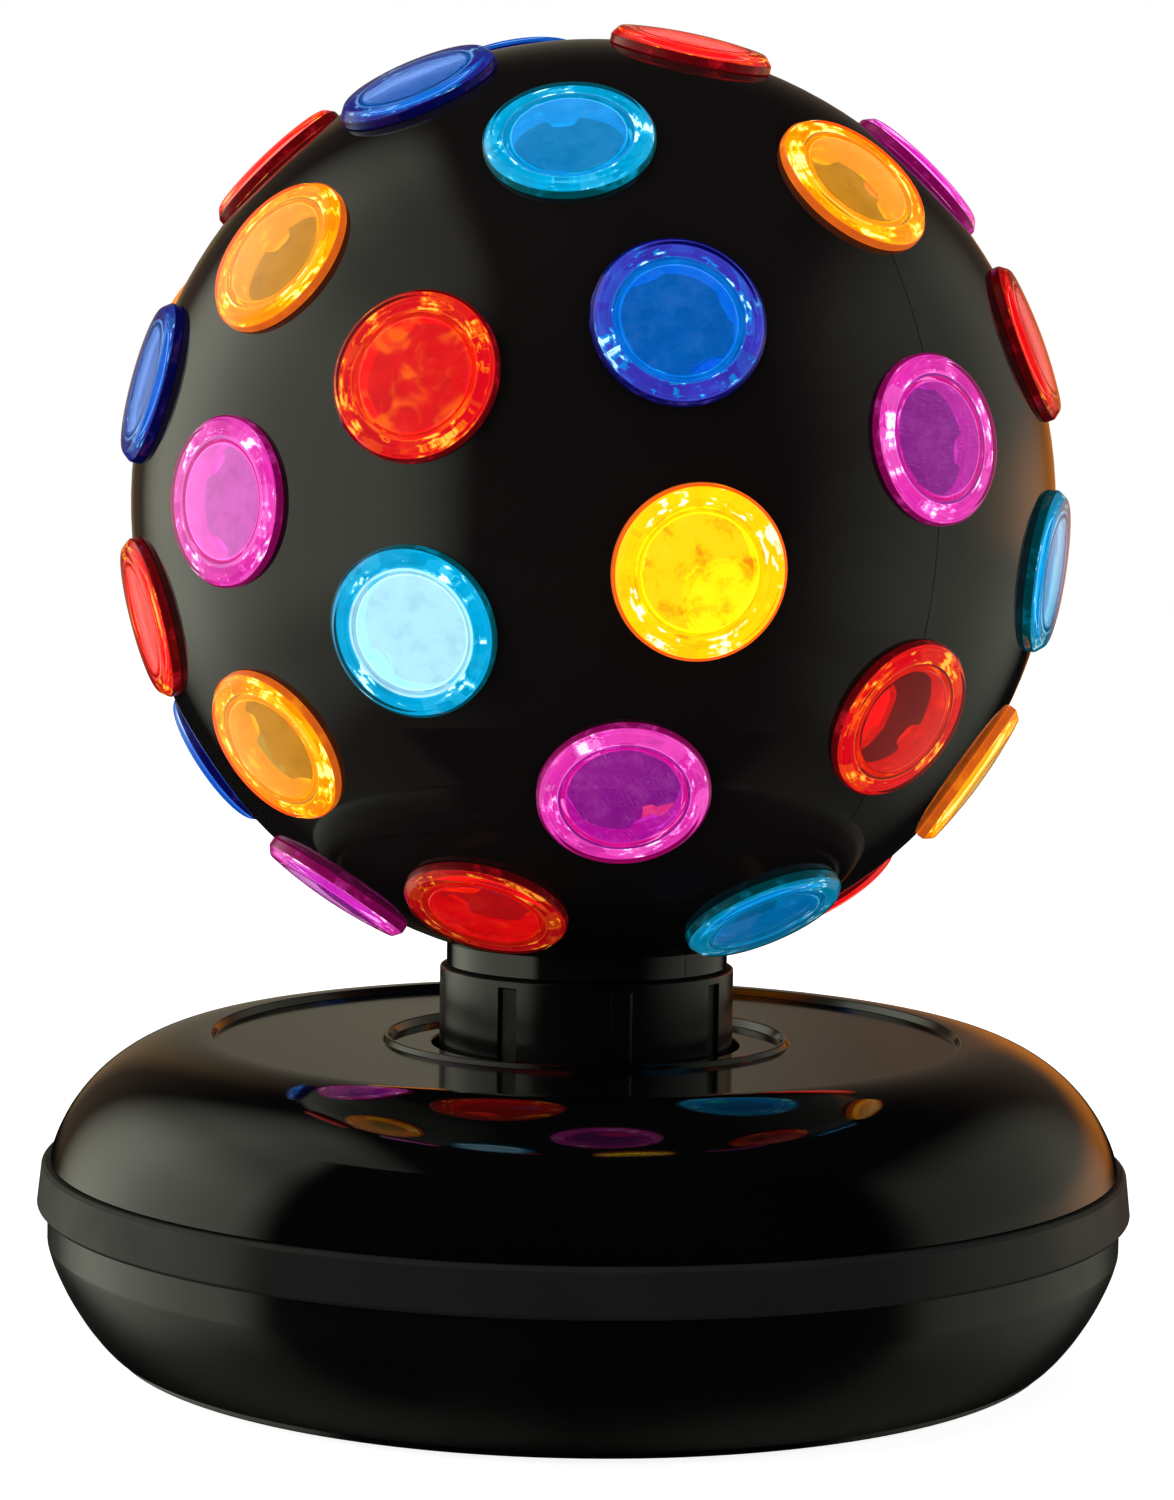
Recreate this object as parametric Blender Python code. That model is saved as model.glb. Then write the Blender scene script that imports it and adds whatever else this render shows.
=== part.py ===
"""LED disco ball light: a lensed ball that turns on a round base, with its drive and lamp inside.

Metres, +Z up. The origin is on the ball's axis, on the surface that the feet stand on.
The light faces -Y. Longitudes are counted from -Y, positive towards +X.
"""

import math

import bmesh
import bpy
from mathutils import Matrix, Vector

# Clearances
FIT_GAP = 0.0003
SEAM_GAP = 0.0003
CUT_OVERRUN = 0.004
JOIN_DEPTH = 0.0005

# Facets
BASE_SEGMENTS = 36
BALL_SEGMENTS = 28
LENS_SEGMENTS = 12
SMALL_SEGMENTS = 10
TURNED_SEGMENTS = 20
SHARP_ANGLE = math.radians(35)

# Band round the widest part, which sets how wide the base is
BAND_SEAT_RADIUS = 0.087
BAND_PROUD_BELOW = 0.0026
BAND_PROUD_ABOVE = 0.0019
BAND_BOTTOM = 0.024
BAND_HEIGHT = 0.0074
BAND_CHAMFER = 0.0006

# Feet and bottom plate
FOOT_PROUD = 0.001
FOOT_RADIUS = 0.006
FOOT_HEIGHT = 0.0018
FOOT_INSET = 0.0114
FOOT_COUNT = 4
PLATE_PAST_CURVE_END = 0.001
PLATE_RIM_HEIGHT = 0.001
PLATE_STEP_HEIGHT = 0.0014

# Base bowl, below the band
BOWL_LEDGE = 0.0009
BOWL_UPRIGHT_HEIGHT = 0.0054
BOWL_CURVE_WIDTH = 0.0115
BOWL_CUT_HEIGHT = 0.0016
BOWL_POWER = 1.33
BOWL_POINTS = 5
BASE_WALL = 0.0022

# Base top, above the band
SHOULDER_LEDGE = 0.0012
SHOULDER_CENTRE_DROP = 0.0014
SHOULDER_RISE = 0.02
SHOULDER_WIDTH = 0.026
SHOULDER_POWER = 1.95
SHOULDER_POINTS = 6
LIP_WIDTH = 0.0012
DECK_DROP = 0.0012
BEAD_MARGIN = 0.0094
BEAD_WIDTH = 0.0014
BEAD_SLOPE_SHARE = 0.33
BEAD_RISE = 0.0009
NECK_FLOOR_DROP = 0.0005
NECK_HOLE_CLEARANCE = 0.0012

# Ball and its neck
BALL_RADIUS = 0.075
BALL_RISE = 0.0002
BALL_WALL = 0.002
BALL_RINGS = 12
SEAM_LONGITUDE = math.radians(43)
NECK_RADIUS = 0.0231
NECK_WALL = 0.0026
SPIGOT_LENGTH = 0.010

# Lenses
LENS_HALF_ANGLE = math.radians(9.904)
LENS_FLANGE_WIDTH = 0.0037
LENS_PROUD = 0.0025
LENS_SHOULDER_WIDTH = 0.0011
LENS_DOME_RISE = 0.0012
LENS_SKIRT_WALL = 0.0012
LENS_SKIRT_DEPTH = 0.0055
LENS_WINDOW_THICKNESS = 0.0028
INNER_RING_ANGLE = math.radians(29.5)
OUTER_RING_ANGLE = math.radians(59.2)
INNER_RING_COUNT = 6
OUTER_RING_COUNT = 11

# Collar under the ball
COLLAR_MARGIN = 0.0011
COLLAR_SHOWING = 0.0123
COLLAR_GROOVES = 8
COLLAR_GROOVE_DEPTH = 0.0005
COLLAR_GROOVE_WIDTH = 0.0026
COLLAR_GROOVE_LONGITUDE = math.radians(15)
COLLAR_RIM_HEIGHT = 0.0012

# Drive
TOOTH_MODULE = 0.001
TURNTABLE_TEETH = 54
PINION_TEETH = 12
TOOTH_ADDENDUM_SHARE = 0.75
TOOTH_DEDENDUM_SHARE = 1.15
TOOTH_ROOT_WIDTH_SHARE = 0.62
TOOTH_TIP_WIDTH_SHARE = 0.22
GEAR_THICKNESS = 0.005
GEAR_TO_DECK = 0.0042
PINION_HEIGHT_MARGIN = 0.0004
MOTOR_RADIUS = 0.014
MOTOR_HEIGHT = 0.022
MOTOR_SCREW_MARGIN = 0.004
MOTOR_EAR_HALF_WIDTH = 0.0042
MOTOR_EAR_THICKNESS = 0.002
MOTOR_TOP_CLEARANCE = 0.0038
MOTOR_POST_RADIUS = 0.0032
SHAFT_RADIUS = 0.0015
SHAFT_LENGTH = 0.008

# Stem, glide ring and lamp
STEM_RADIUS = 0.009
STEM_WALL = 0.003
STEM_STEP = 0.003
STEM_FLANGE_WIDTH = 0.010
STEM_FLANGE_HEIGHT = 0.0025
STEM_WINDOW_RADIUS = 0.003
STEM_WINDOW_RISE = 0.0076
GLIDE_HEIGHT = 0.0017
LAMP_DROP = 0.012
LED_BOARD_MARGIN = 0.004
BOARD_THICKNESS = 0.0016
LED_RADIUS = 0.004
LED_HEIGHT = 0.006

# Screws
PLATE_SCREW_INSET = 0.0084
PLATE_SCREW_COUNT = 4
PLATE_SCREW_FIRST_ANGLE = math.radians(45)
PLATE_SCREW_RADIUS = 0.0014
PLATE_SCREW_HEAD_RADIUS = 0.0028
PLATE_SCREW_HEAD_HEIGHT = 0.0011
PLATE_SCREW_LENGTH = 0.0085
BOSS_RADIUS = 0.0036
BOSS_HEIGHT = 0.010
BOSS_RIB_WIDTH = 0.0024
MOTOR_SCREW_RADIUS = 0.0012
MOTOR_SCREW_HEAD_RADIUS = 0.0026
MOTOR_SCREW_HEAD_HEIGHT = 0.0016
MOTOR_SCREW_LENGTH = 0.008

# Driver board, at the rear
DRIVER_HALF_WIDTH = 0.024
DRIVER_DEPTH = 0.032
DRIVER_TO_PANEL = 0.005
DRIVER_POST_RADIUS = 0.0022
DRIVER_POST_INSET = 0.004
CAPACITOR_RADIUS = 0.004
CAPACITOR_HEIGHT = 0.010
CAPACITOR_SIDE_INSET = 0.010
CAPACITOR_FRONT_INSET = 0.008
CHIP_HALF_SIDE = 0.004
CHIP_HEIGHT = 0.0014
CHIP_OFF_CENTRE = 0.004
CHIP_FRONT_INSET = 0.018

# Rear panel, power jack and switch
PANEL_HALF_WIDTH = 0.0157
PANEL_HALF_HEIGHT = 0.0062
PANEL_SETBACK = 0.0069
PANEL_THICKNESS = 0.002
PANEL_TO_BAND = 0.0085
FRAME_WALL = 0.0027
FRAME_LAP = 0.001
JACK_END_MARGIN = 0.0062
JACK_BORE_RADIUS = 0.0029
JACK_BORE_DEPTH = 0.0095
JACK_BARREL_WALL = 0.0011
JACK_PIN_RADIUS = 0.0009
JACK_BODY_MARGIN = 0.0006
JACK_DEPTH_MARGIN = 0.0025
JACK_PROUD = 0.0004
SWITCH_END_MARGIN = 0.0097
SWITCH_HALF_WIDTH = 0.0065
SWITCH_HALF_HEIGHT = 0.0042
SWITCH_DEPTH = 0.011
SWITCH_SIDE_WALL = 0.0011
SWITCH_TOP_WALL = 0.0012
BEZEL_MARGIN = 0.0013
BEZEL_THICKNESS = 0.0015
SWITCH_WELL_DEPTH = 0.0055
ROCKER_SIDE_CLEARANCE = 0.001
ROCKER_TOP_CLEARANCE = 0.0004
ROCKER_BACK = 0.0014
ROCKER_FRONT = 0.0014
ROCKER_END_RISE = 0.001
ROCKER_PIVOT_DEPTH = 0.0022
ROCKER_PIN_RADIUS = 0.0007
ROCKER_PIN_LENGTH = 0.0007
ROCKER_TILT = math.radians(-8)

# Leads inside the base and the stem
LEAD_RADIUS = 0.0012
LEAD_STEP_DIAMETERS = 2.5
LEAD_BEVEL_RESOLUTION = 2
MOTOR_LEAD_ANGLE = math.radians(60)
MOTOR_LEAD_HEIGHT = 0.020

# Radii of the base, worked out from the band's seat
BAND_BOTTOM_RADIUS = BAND_SEAT_RADIUS + BAND_PROUD_BELOW
BAND_TOP_RADIUS = BAND_SEAT_RADIUS + BAND_PROUD_ABOVE
BOWL_RADIUS = BAND_SEAT_RADIUS + BOWL_LEDGE
BOWL_CURVE_END_RADIUS = BOWL_RADIUS - BOWL_CURVE_WIDTH
SHOULDER_RADIUS = BAND_SEAT_RADIUS + SHOULDER_LEDGE
LIP_RADIUS = SHOULDER_RADIUS - SHOULDER_WIDTH
PLATE_RADIUS = BOWL_CURVE_END_RADIUS + PLATE_PAST_CURVE_END
FOOT_PLACE_RADIUS = PLATE_RADIUS - FOOT_INSET
PLATE_SCREW_PLACE_RADIUS = PLATE_RADIUS - PLATE_SCREW_INSET

# Heights of the base, worked out from the floor up
PLATE_BOTTOM = FOOT_PROUD
PLATE_RIM_TOP = PLATE_BOTTOM + PLATE_RIM_HEIGHT
PLATE_TOP = PLATE_RIM_TOP + PLATE_STEP_HEIGHT
BOWL_BOTTOM = PLATE_RIM_TOP + FIT_GAP
BOWL_CURVE_END = BOWL_BOTTOM - BOWL_CUT_HEIGHT
BOWL_CURVE_TOP = BAND_BOTTOM - BOWL_UPRIGHT_HEIGHT
BAND_TOP = BAND_BOTTOM + BAND_HEIGHT
SHELL_SEAM = (BAND_BOTTOM + BAND_TOP) / 2
SHOULDER_CENTRE = SHELL_SEAM - SHOULDER_CENTRE_DROP
SHOULDER_TOP = BAND_TOP + SHOULDER_RISE
DECK_TOP = SHOULDER_TOP - DECK_DROP
BEAD_TOP = DECK_TOP + BEAD_RISE
NECK_FLOOR = DECK_TOP - NECK_FLOOR_DROP
DECK_UNDERSIDE = NECK_FLOOR - BASE_WALL

# The turning stack, hung from the deck
GEAR_TOP = DECK_UNDERSIDE - GEAR_TO_DECK
GEAR_BOTTOM = GEAR_TOP - GEAR_THICKNESS
GLIDE_BOTTOM = GEAR_BOTTOM - FIT_GAP - GLIDE_HEIGHT
COLLAR_BOTTOM = GEAR_TOP + FIT_GAP
COLLAR_TOP = DECK_TOP + COLLAR_SHOWING
NECK_SHOULDER = COLLAR_TOP + FIT_GAP
BALL_CENTRE = NECK_SHOULDER + BALL_RADIUS + BALL_RISE
SPIGOT_RADIUS = NECK_RADIUS - NECK_WALL / 2
COLLAR_BORE = SPIGOT_RADIUS + FIT_GAP
COLLAR_RADIUS = NECK_RADIUS + COLLAR_MARGIN
BEAD_RADIUS = COLLAR_RADIUS + BEAD_MARGIN
LENS_RADIUS = BALL_RADIUS * math.sin(LENS_HALF_ANGLE)
LENS_RIM_PROUD = LENS_PROUD - LENS_DOME_RISE
LENS_SKIRT_RADIUS = LENS_RADIUS - LENS_FLANGE_WIDTH

# The still parts inside
PITCH_TO_PINION = TOOTH_MODULE * (TURNTABLE_TEETH + PINION_TEETH) / 2
MOTOR_TOP = GEAR_BOTTOM - MOTOR_TOP_CLEARANCE
MOTOR_EAR_BOTTOM = MOTOR_TOP - MOTOR_EAR_THICKNESS
MOTOR_SCREW_REACH = MOTOR_RADIUS + MOTOR_SCREW_MARGIN
MOTOR_EAR_REACH = MOTOR_SCREW_REACH + MOTOR_SCREW_MARGIN
STEM_BORE = STEM_RADIUS - STEM_WALL
STEM_COLUMN_RADIUS = STEM_RADIUS + STEM_STEP
STEM_FLANGE_RADIUS = STEM_COLUMN_RADIUS + STEM_FLANGE_WIDTH
STEM_COLUMN_TOP = GLIDE_BOTTOM - FIT_GAP
STEM_TOP = BALL_CENTRE - LAMP_DROP
STEM_WINDOW_HEIGHT = PLATE_TOP + STEM_WINDOW_RISE
LED_BOARD_RADIUS = STEM_RADIUS + LED_BOARD_MARGIN
LED_BOARD_BOTTOM = STEM_TOP + FIT_GAP
LED_BOARD_TOP = LED_BOARD_BOTTOM + BOARD_THICKNESS

# The rear, worked out from the bowl's side and the band
PANEL_OUTER = BOWL_RADIUS - PANEL_SETBACK
PANEL_INNER = PANEL_OUTER - PANEL_THICKNESS
PANEL_CENTRE = BAND_BOTTOM - PANEL_TO_BAND
FRAME_INNER = PANEL_INNER - FRAME_LAP
JACK_X = JACK_END_MARGIN - PANEL_HALF_WIDTH
JACK_BARREL_RADIUS = JACK_BORE_RADIUS + JACK_BARREL_WALL
JACK_HALF_SIDE = JACK_BARREL_RADIUS + JACK_BODY_MARGIN
JACK_DEPTH = JACK_BORE_DEPTH + JACK_DEPTH_MARGIN
SWITCH_X = PANEL_HALF_WIDTH - SWITCH_END_MARGIN
SWITCH_WELL_HALF_WIDTH = SWITCH_HALF_WIDTH - SWITCH_SIDE_WALL
SWITCH_WELL_HALF_HEIGHT = SWITCH_HALF_HEIGHT - SWITCH_TOP_WALL
ROCKER_HALF_WIDTH = SWITCH_WELL_HALF_WIDTH - ROCKER_SIDE_CLEARANCE
ROCKER_HALF_HEIGHT = SWITCH_WELL_HALF_HEIGHT - ROCKER_TOP_CLEARANCE
BEZEL_FACE = PANEL_OUTER + FIT_GAP + BEZEL_THICKNESS
ROCKER_PIVOT_Y = BEZEL_FACE - ROCKER_PIVOT_DEPTH
DRIVER_BACK = PANEL_INNER - DRIVER_TO_PANEL
DRIVER_FRONT = DRIVER_BACK - DRIVER_DEPTH
DRIVER_TOP = PANEL_CENTRE - JACK_HALF_SIDE - FIT_GAP
DRIVER_UNDERSIDE = DRIVER_TOP - BOARD_THICKNESS
CAPACITOR_X = DRIVER_HALF_WIDTH - CAPACITOR_SIDE_INSET
CAPACITOR_Y = DRIVER_FRONT + CAPACITOR_FRONT_INSET
CHIP_Y = DRIVER_FRONT + CHIP_FRONT_INSET

INNER_RING_COLOURS = ("orange", "red", "cyan", "orange", "red", "blue")
OUTER_RING_COLOURS = (
    "blue", "cyan", "blue", "orange", "magenta", "red",
    "magenta", "blue", "cyan", "orange", "red",
)
SEAM_RING_COLOURS = (
    "red", "orange", "magenta", "red", "cyan",
    "orange", "magenta", "cyan", "orange", "blue",
)

# Colour, roughness, metallic
FINISHES = {
    "gloss_black": ((0.012, 0.012, 0.013), 0.08, 0.0),
    "satin_black": ((0.020, 0.020, 0.021), 0.35, 0.0),
    "charcoal": ((0.030, 0.032, 0.031), 0.60, 0.0),
    "rubber": ((0.015, 0.015, 0.015), 0.85, 0.0),
    "white_plastic": ((0.80, 0.79, 0.75), 0.45, 0.0),
    "amber_plastic": ((0.78, 0.72, 0.60), 0.40, 0.0),
    "zinc_steel": ((0.62, 0.62, 0.64), 0.35, 1.0),
    "circuit_green": ((0.03, 0.18, 0.07), 0.50, 0.0),
    "lead_grey": ((0.20, 0.20, 0.21), 0.50, 0.0),
    "led_resin": ((0.92, 0.92, 0.88), 0.20, 0.0),
    "lens_red": ((0.80, 0.05, 0.04), 0.06, 0.0),
    "lens_orange": ((0.85, 0.30, 0.03), 0.06, 0.0),
    "lens_blue": ((0.03, 0.15, 0.70), 0.06, 0.0),
    "lens_cyan": ((0.02, 0.50, 0.62), 0.06, 0.0),
    "lens_magenta": ((0.65, 0.03, 0.35), 0.06, 0.0),
}


def clear_scene():
    """Removes whatever the scene holds."""
    for item in list(bpy.data.objects):
        bpy.data.objects.remove(item, do_unlink=True)


def finish_named(name):
    """The Principled material of that name, made once."""
    found = bpy.data.materials.get(name)
    if found:
        return found
    colour, roughness, metallic = FINISHES[name]
    made = bpy.data.materials.new(name)
    made.use_nodes = True
    shader = made.node_tree.nodes["Principled BSDF"]
    shader.inputs["Base Color"].default_value = (*colour, 1.0)
    shader.inputs["Roughness"].default_value = roughness
    shader.inputs["Metallic"].default_value = metallic
    made.diffuse_color = (*colour, 1.0)
    return made


def mesh_from(shape, name):
    """A mesh from a bmesh, with its faces turned outwards."""
    bmesh.ops.recalc_face_normals(shape, faces=shape.faces[:])
    mesh = bpy.data.meshes.new(name)
    shape.to_mesh(mesh)
    shape.free()
    return mesh


def place(name, mesh, finish, location=(0, 0, 0), parent=None):
    """An object with this mesh and finish, shaded smooth apart from its sharp edges."""
    if finish and not mesh.materials:
        mesh.materials.append(finish_named(finish))
    mesh.shade_smooth()
    mesh.set_sharp_from_angle(angle=SHARP_ANGLE)
    item = bpy.data.objects.new(name, mesh)
    item.location = location
    item.parent = parent
    bpy.context.scene.collection.objects.link(item)
    return item


def helper(name, mesh, location=(0, 0, 0)):
    """A cutter or other helper, which isn't part of the object."""
    item = place(name, mesh, None, location)
    item.hide_render = True
    item.display_type = "WIRE"
    return item


def combine(item, tool, operation):
    """A Boolean of the item with a helper."""
    step = item.modifiers.new(f"{operation.lower()}_{tool.name}", "BOOLEAN")
    step.operation = operation
    step.solver = "EXACT"
    step.object = tool


def axis_empty(name, location):
    """An empty on a joint's axis, for the pieces that turn about it."""
    item = bpy.data.objects.new(name, None)
    item.location = location
    bpy.context.scene.collection.objects.link(item)
    return item


def turned_mesh(name, profile, segments, sweep=math.tau):
    """A solid turned about local Z from (radius, height) points that go round its section.

    Under a full turn, its two ends are closed flat.
    """
    whole = math.isclose(sweep, math.tau)
    angles = [sweep * step / segments for step in range(segments if whole else segments + 1)]
    shape = bmesh.new()
    rings = []
    for radius, height in profile:
        if radius == 0:
            rings.append([shape.verts.new((0, 0, height))] * len(angles))
            continue
        rings.append(
            [shape.verts.new((radius * math.cos(a), radius * math.sin(a), height)) for a in angles]
        )
    for ring, following in zip(rings, rings[1:] + rings[:1]):
        for step in range(segments):
            after = (step + 1) % len(angles)
            corners = [ring[step], ring[after], following[after], following[step]]
            corners = list(dict.fromkeys(corners))
            if len(corners) > 2:
                shape.faces.new(corners)
    if not whole:
        for end in (0, -1):
            shape.faces.new([ring[end] for ring in rings])
    return mesh_from(shape, name)


def tube_profile(inner, outer, bottom, top):
    """The section of a plain ring."""
    return [(inner, bottom), (outer, bottom), (outer, top), (inner, top)]


def disc_profile(radius, bottom, top):
    """The section of a plain disc."""
    return [(0, bottom), (radius, bottom), (radius, top), (0, top)]


def box_mesh(name, low, high):
    """A box between two corners."""
    low, high = Vector(low), Vector(high)
    shape = bmesh.new()
    bmesh.ops.create_cube(shape, size=1)
    size = Matrix.Diagonal((*(high - low), 1))
    bmesh.ops.transform(shape, matrix=Matrix.Translation((low + high) / 2) @ size, verts=shape.verts)
    return mesh_from(shape, name)


def joined_mesh(name, meshes_and_places):
    """One mesh of several, each moved by its matrix."""
    shape = bmesh.new()
    for mesh, matrix in meshes_and_places:
        before = set(shape.verts)
        shape.from_mesh(mesh)
        added = [vert for vert in shape.verts if vert not in before]
        bmesh.ops.transform(shape, matrix=matrix, verts=added)
    return mesh_from(shape, name)


def lying_along_y(location):
    """The matrix that lays a piece turned about Z along +Y, with its foot at the location."""
    return Matrix.Translation(location) @ Matrix.Rotation(math.radians(-90), 4, "X")


def round_places(count, radius, first_angle, height=0.0):
    """Evenly spaced points on a circle about the Z axis."""
    step = math.tau / count
    return [
        Vector((
            radius * math.cos(first_angle + step * number),
            radius * math.sin(first_angle + step * number),
            height,
        ))
        for number in range(count)
    ]


def superellipse(side, level, end, end_level, power, count, sweep_share=1.0):
    """Points from (side, level), where the curve is upright, towards (end, end_level)."""
    points = []
    for number in range(count):
        angle = math.radians(90) * sweep_share * number / (count - 1)
        across = math.cos(angle) ** (2 / power)
        along = math.sin(angle) ** (2 / power)
        points.append((end + (side - end) * across, level + (end_level - level) * along))
    return points


def bowl_sweep_share():
    """The share of the quarter curve above the bowl's cut bottom edge."""
    drop_share = (BOWL_CURVE_TOP - BOWL_BOTTOM) / (BOWL_CURVE_TOP - BOWL_CURVE_END)
    return math.asin(drop_share ** (BOWL_POWER / 2)) / math.radians(90)


def bowl_curve(inset=0.0):
    """The bowl's section from its upright side down to its bottom edge."""
    return superellipse(
        BOWL_RADIUS - inset, BOWL_CURVE_TOP, BOWL_CURVE_END_RADIUS - inset, BOWL_CURVE_END,
        BOWL_POWER, BOWL_POINTS, bowl_sweep_share(),
    )


def shoulder_curve(inset=0.0):
    """The upper shell's section from the band up to the lip."""
    start_share = math.asin(
        ((BAND_TOP - SHOULDER_CENTRE) / (SHOULDER_TOP - SHOULDER_CENTRE)) ** (SHOULDER_POWER / 2)
    ) / math.radians(90)
    points = []
    for number in range(SHOULDER_POINTS):
        share = start_share + (1 - start_share) * number / (SHOULDER_POINTS - 1)
        angle = math.radians(90) * share
        across = math.cos(angle) ** (2 / SHOULDER_POWER)
        along = math.sin(angle) ** (2 / SHOULDER_POWER)
        points.append((
            LIP_RADIUS + (SHOULDER_RADIUS - inset - LIP_RADIUS) * across,
            SHOULDER_CENTRE + (SHOULDER_TOP - inset - SHOULDER_CENTRE) * along,
        ))
    return points


def make_feet_and_plate():
    """The rubber feet, the bottom plate that they are set in, and its screws."""
    feet = round_places(FOOT_COUNT, FOOT_PLACE_RADIUS, 0.0)
    foot_mesh = turned_mesh("rubber_foot", disc_profile(FOOT_RADIUS, 0, FOOT_HEIGHT), SMALL_SEGMENTS)
    for number, spot in enumerate(feet, start=1):
        place(f"rubber_foot_{number}", foot_mesh, "rubber", spot)

    disc = [
        (0, PLATE_BOTTOM), (PLATE_RADIUS, PLATE_BOTTOM), (PLATE_RADIUS, PLATE_RIM_TOP),
        (bowl_curve(BASE_WALL)[-1][0] - FIT_GAP, PLATE_RIM_TOP),
        (bowl_curve(BASE_WALL)[-1][0] - FIT_GAP, PLATE_TOP), (0, PLATE_TOP),
    ]
    plate = place("bottom_plate", turned_mesh("bottom_plate", disc, BASE_SEGMENTS), "gloss_black")

    recess = turned_mesh(
        "foot_recess",
        disc_profile(FOOT_RADIUS + FIT_GAP, PLATE_BOTTOM - CUT_OVERRUN, FOOT_HEIGHT + FIT_GAP),
        SMALL_SEGMENTS,
    )
    head_hole = turned_mesh(
        "screw_hole",
        [
            (0, PLATE_BOTTOM - CUT_OVERRUN),
            (PLATE_SCREW_HEAD_RADIUS + FIT_GAP, PLATE_BOTTOM - CUT_OVERRUN),
            (PLATE_SCREW_HEAD_RADIUS + FIT_GAP, PLATE_BOTTOM + PLATE_SCREW_HEAD_HEIGHT + 2 * FIT_GAP),
            (PLATE_SCREW_RADIUS + FIT_GAP, PLATE_BOTTOM + PLATE_SCREW_HEAD_HEIGHT + 2 * FIT_GAP),
            (PLATE_SCREW_RADIUS + FIT_GAP, PLATE_TOP + CUT_OVERRUN), (0, PLATE_TOP + CUT_OVERRUN),
        ],
        SMALL_SEGMENTS,
    )
    screws = round_places(PLATE_SCREW_COUNT, PLATE_SCREW_PLACE_RADIUS, PLATE_SCREW_FIRST_ANGLE)
    cuts = [(recess, Matrix.Translation(spot)) for spot in feet]
    cuts += [(head_hole, Matrix.Translation(spot)) for spot in screws]
    combine(plate, helper("plate_holes", joined_mesh("plate_holes", cuts)), "DIFFERENCE")

    motor_post = turned_mesh(
        "motor_post",
        disc_profile(MOTOR_POST_RADIUS, PLATE_TOP - JOIN_DEPTH, MOTOR_EAR_BOTTOM - FIT_GAP),
        SMALL_SEGMENTS,
    )
    motor_post_hole = turned_mesh(
        "motor_post_hole",
        disc_profile(
            MOTOR_SCREW_RADIUS + FIT_GAP,
            MOTOR_TOP - MOTOR_SCREW_LENGTH,
            MOTOR_EAR_BOTTOM + CUT_OVERRUN,
        ),
        SMALL_SEGMENTS,
    )
    board_post = turned_mesh(
        "board_post",
        disc_profile(DRIVER_POST_RADIUS, PLATE_TOP - JOIN_DEPTH, DRIVER_UNDERSIDE - FIT_GAP),
        SMALL_SEGMENTS,
    )
    motor_spots = motor_screw_places()
    board_spots = [
        Vector((side * (DRIVER_HALF_WIDTH - DRIVER_POST_INSET), y, 0))
        for side in (-1, 1)
        for y in (DRIVER_FRONT + DRIVER_POST_INSET, DRIVER_BACK - DRIVER_POST_INSET)
    ]
    posts = [(motor_post, Matrix.Translation(spot)) for spot in motor_spots]
    posts += [(board_post, Matrix.Translation(spot)) for spot in board_spots]
    combine(plate, helper("plate_posts", joined_mesh("plate_posts", posts)), "UNION")
    holes = [(motor_post_hole, Matrix.Translation(spot)) for spot in motor_spots]
    combine(plate, helper("post_holes", joined_mesh("post_holes", holes)), "DIFFERENCE")

    head_bottom = PLATE_BOTTOM + FIT_GAP
    shank_start = head_bottom + PLATE_SCREW_HEAD_HEIGHT
    screw_mesh = turned_mesh(
        "plate_screw",
        [
            (0, head_bottom), (PLATE_SCREW_HEAD_RADIUS, head_bottom),
            (PLATE_SCREW_HEAD_RADIUS, shank_start), (PLATE_SCREW_RADIUS, shank_start),
            (PLATE_SCREW_RADIUS, head_bottom + PLATE_SCREW_LENGTH),
            (0, head_bottom + PLATE_SCREW_LENGTH),
        ],
        SMALL_SEGMENTS,
    )
    for number, spot in enumerate(screws, start=1):
        place(f"plate_screw_{number}", screw_mesh, "zinc_steel", spot)


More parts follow.
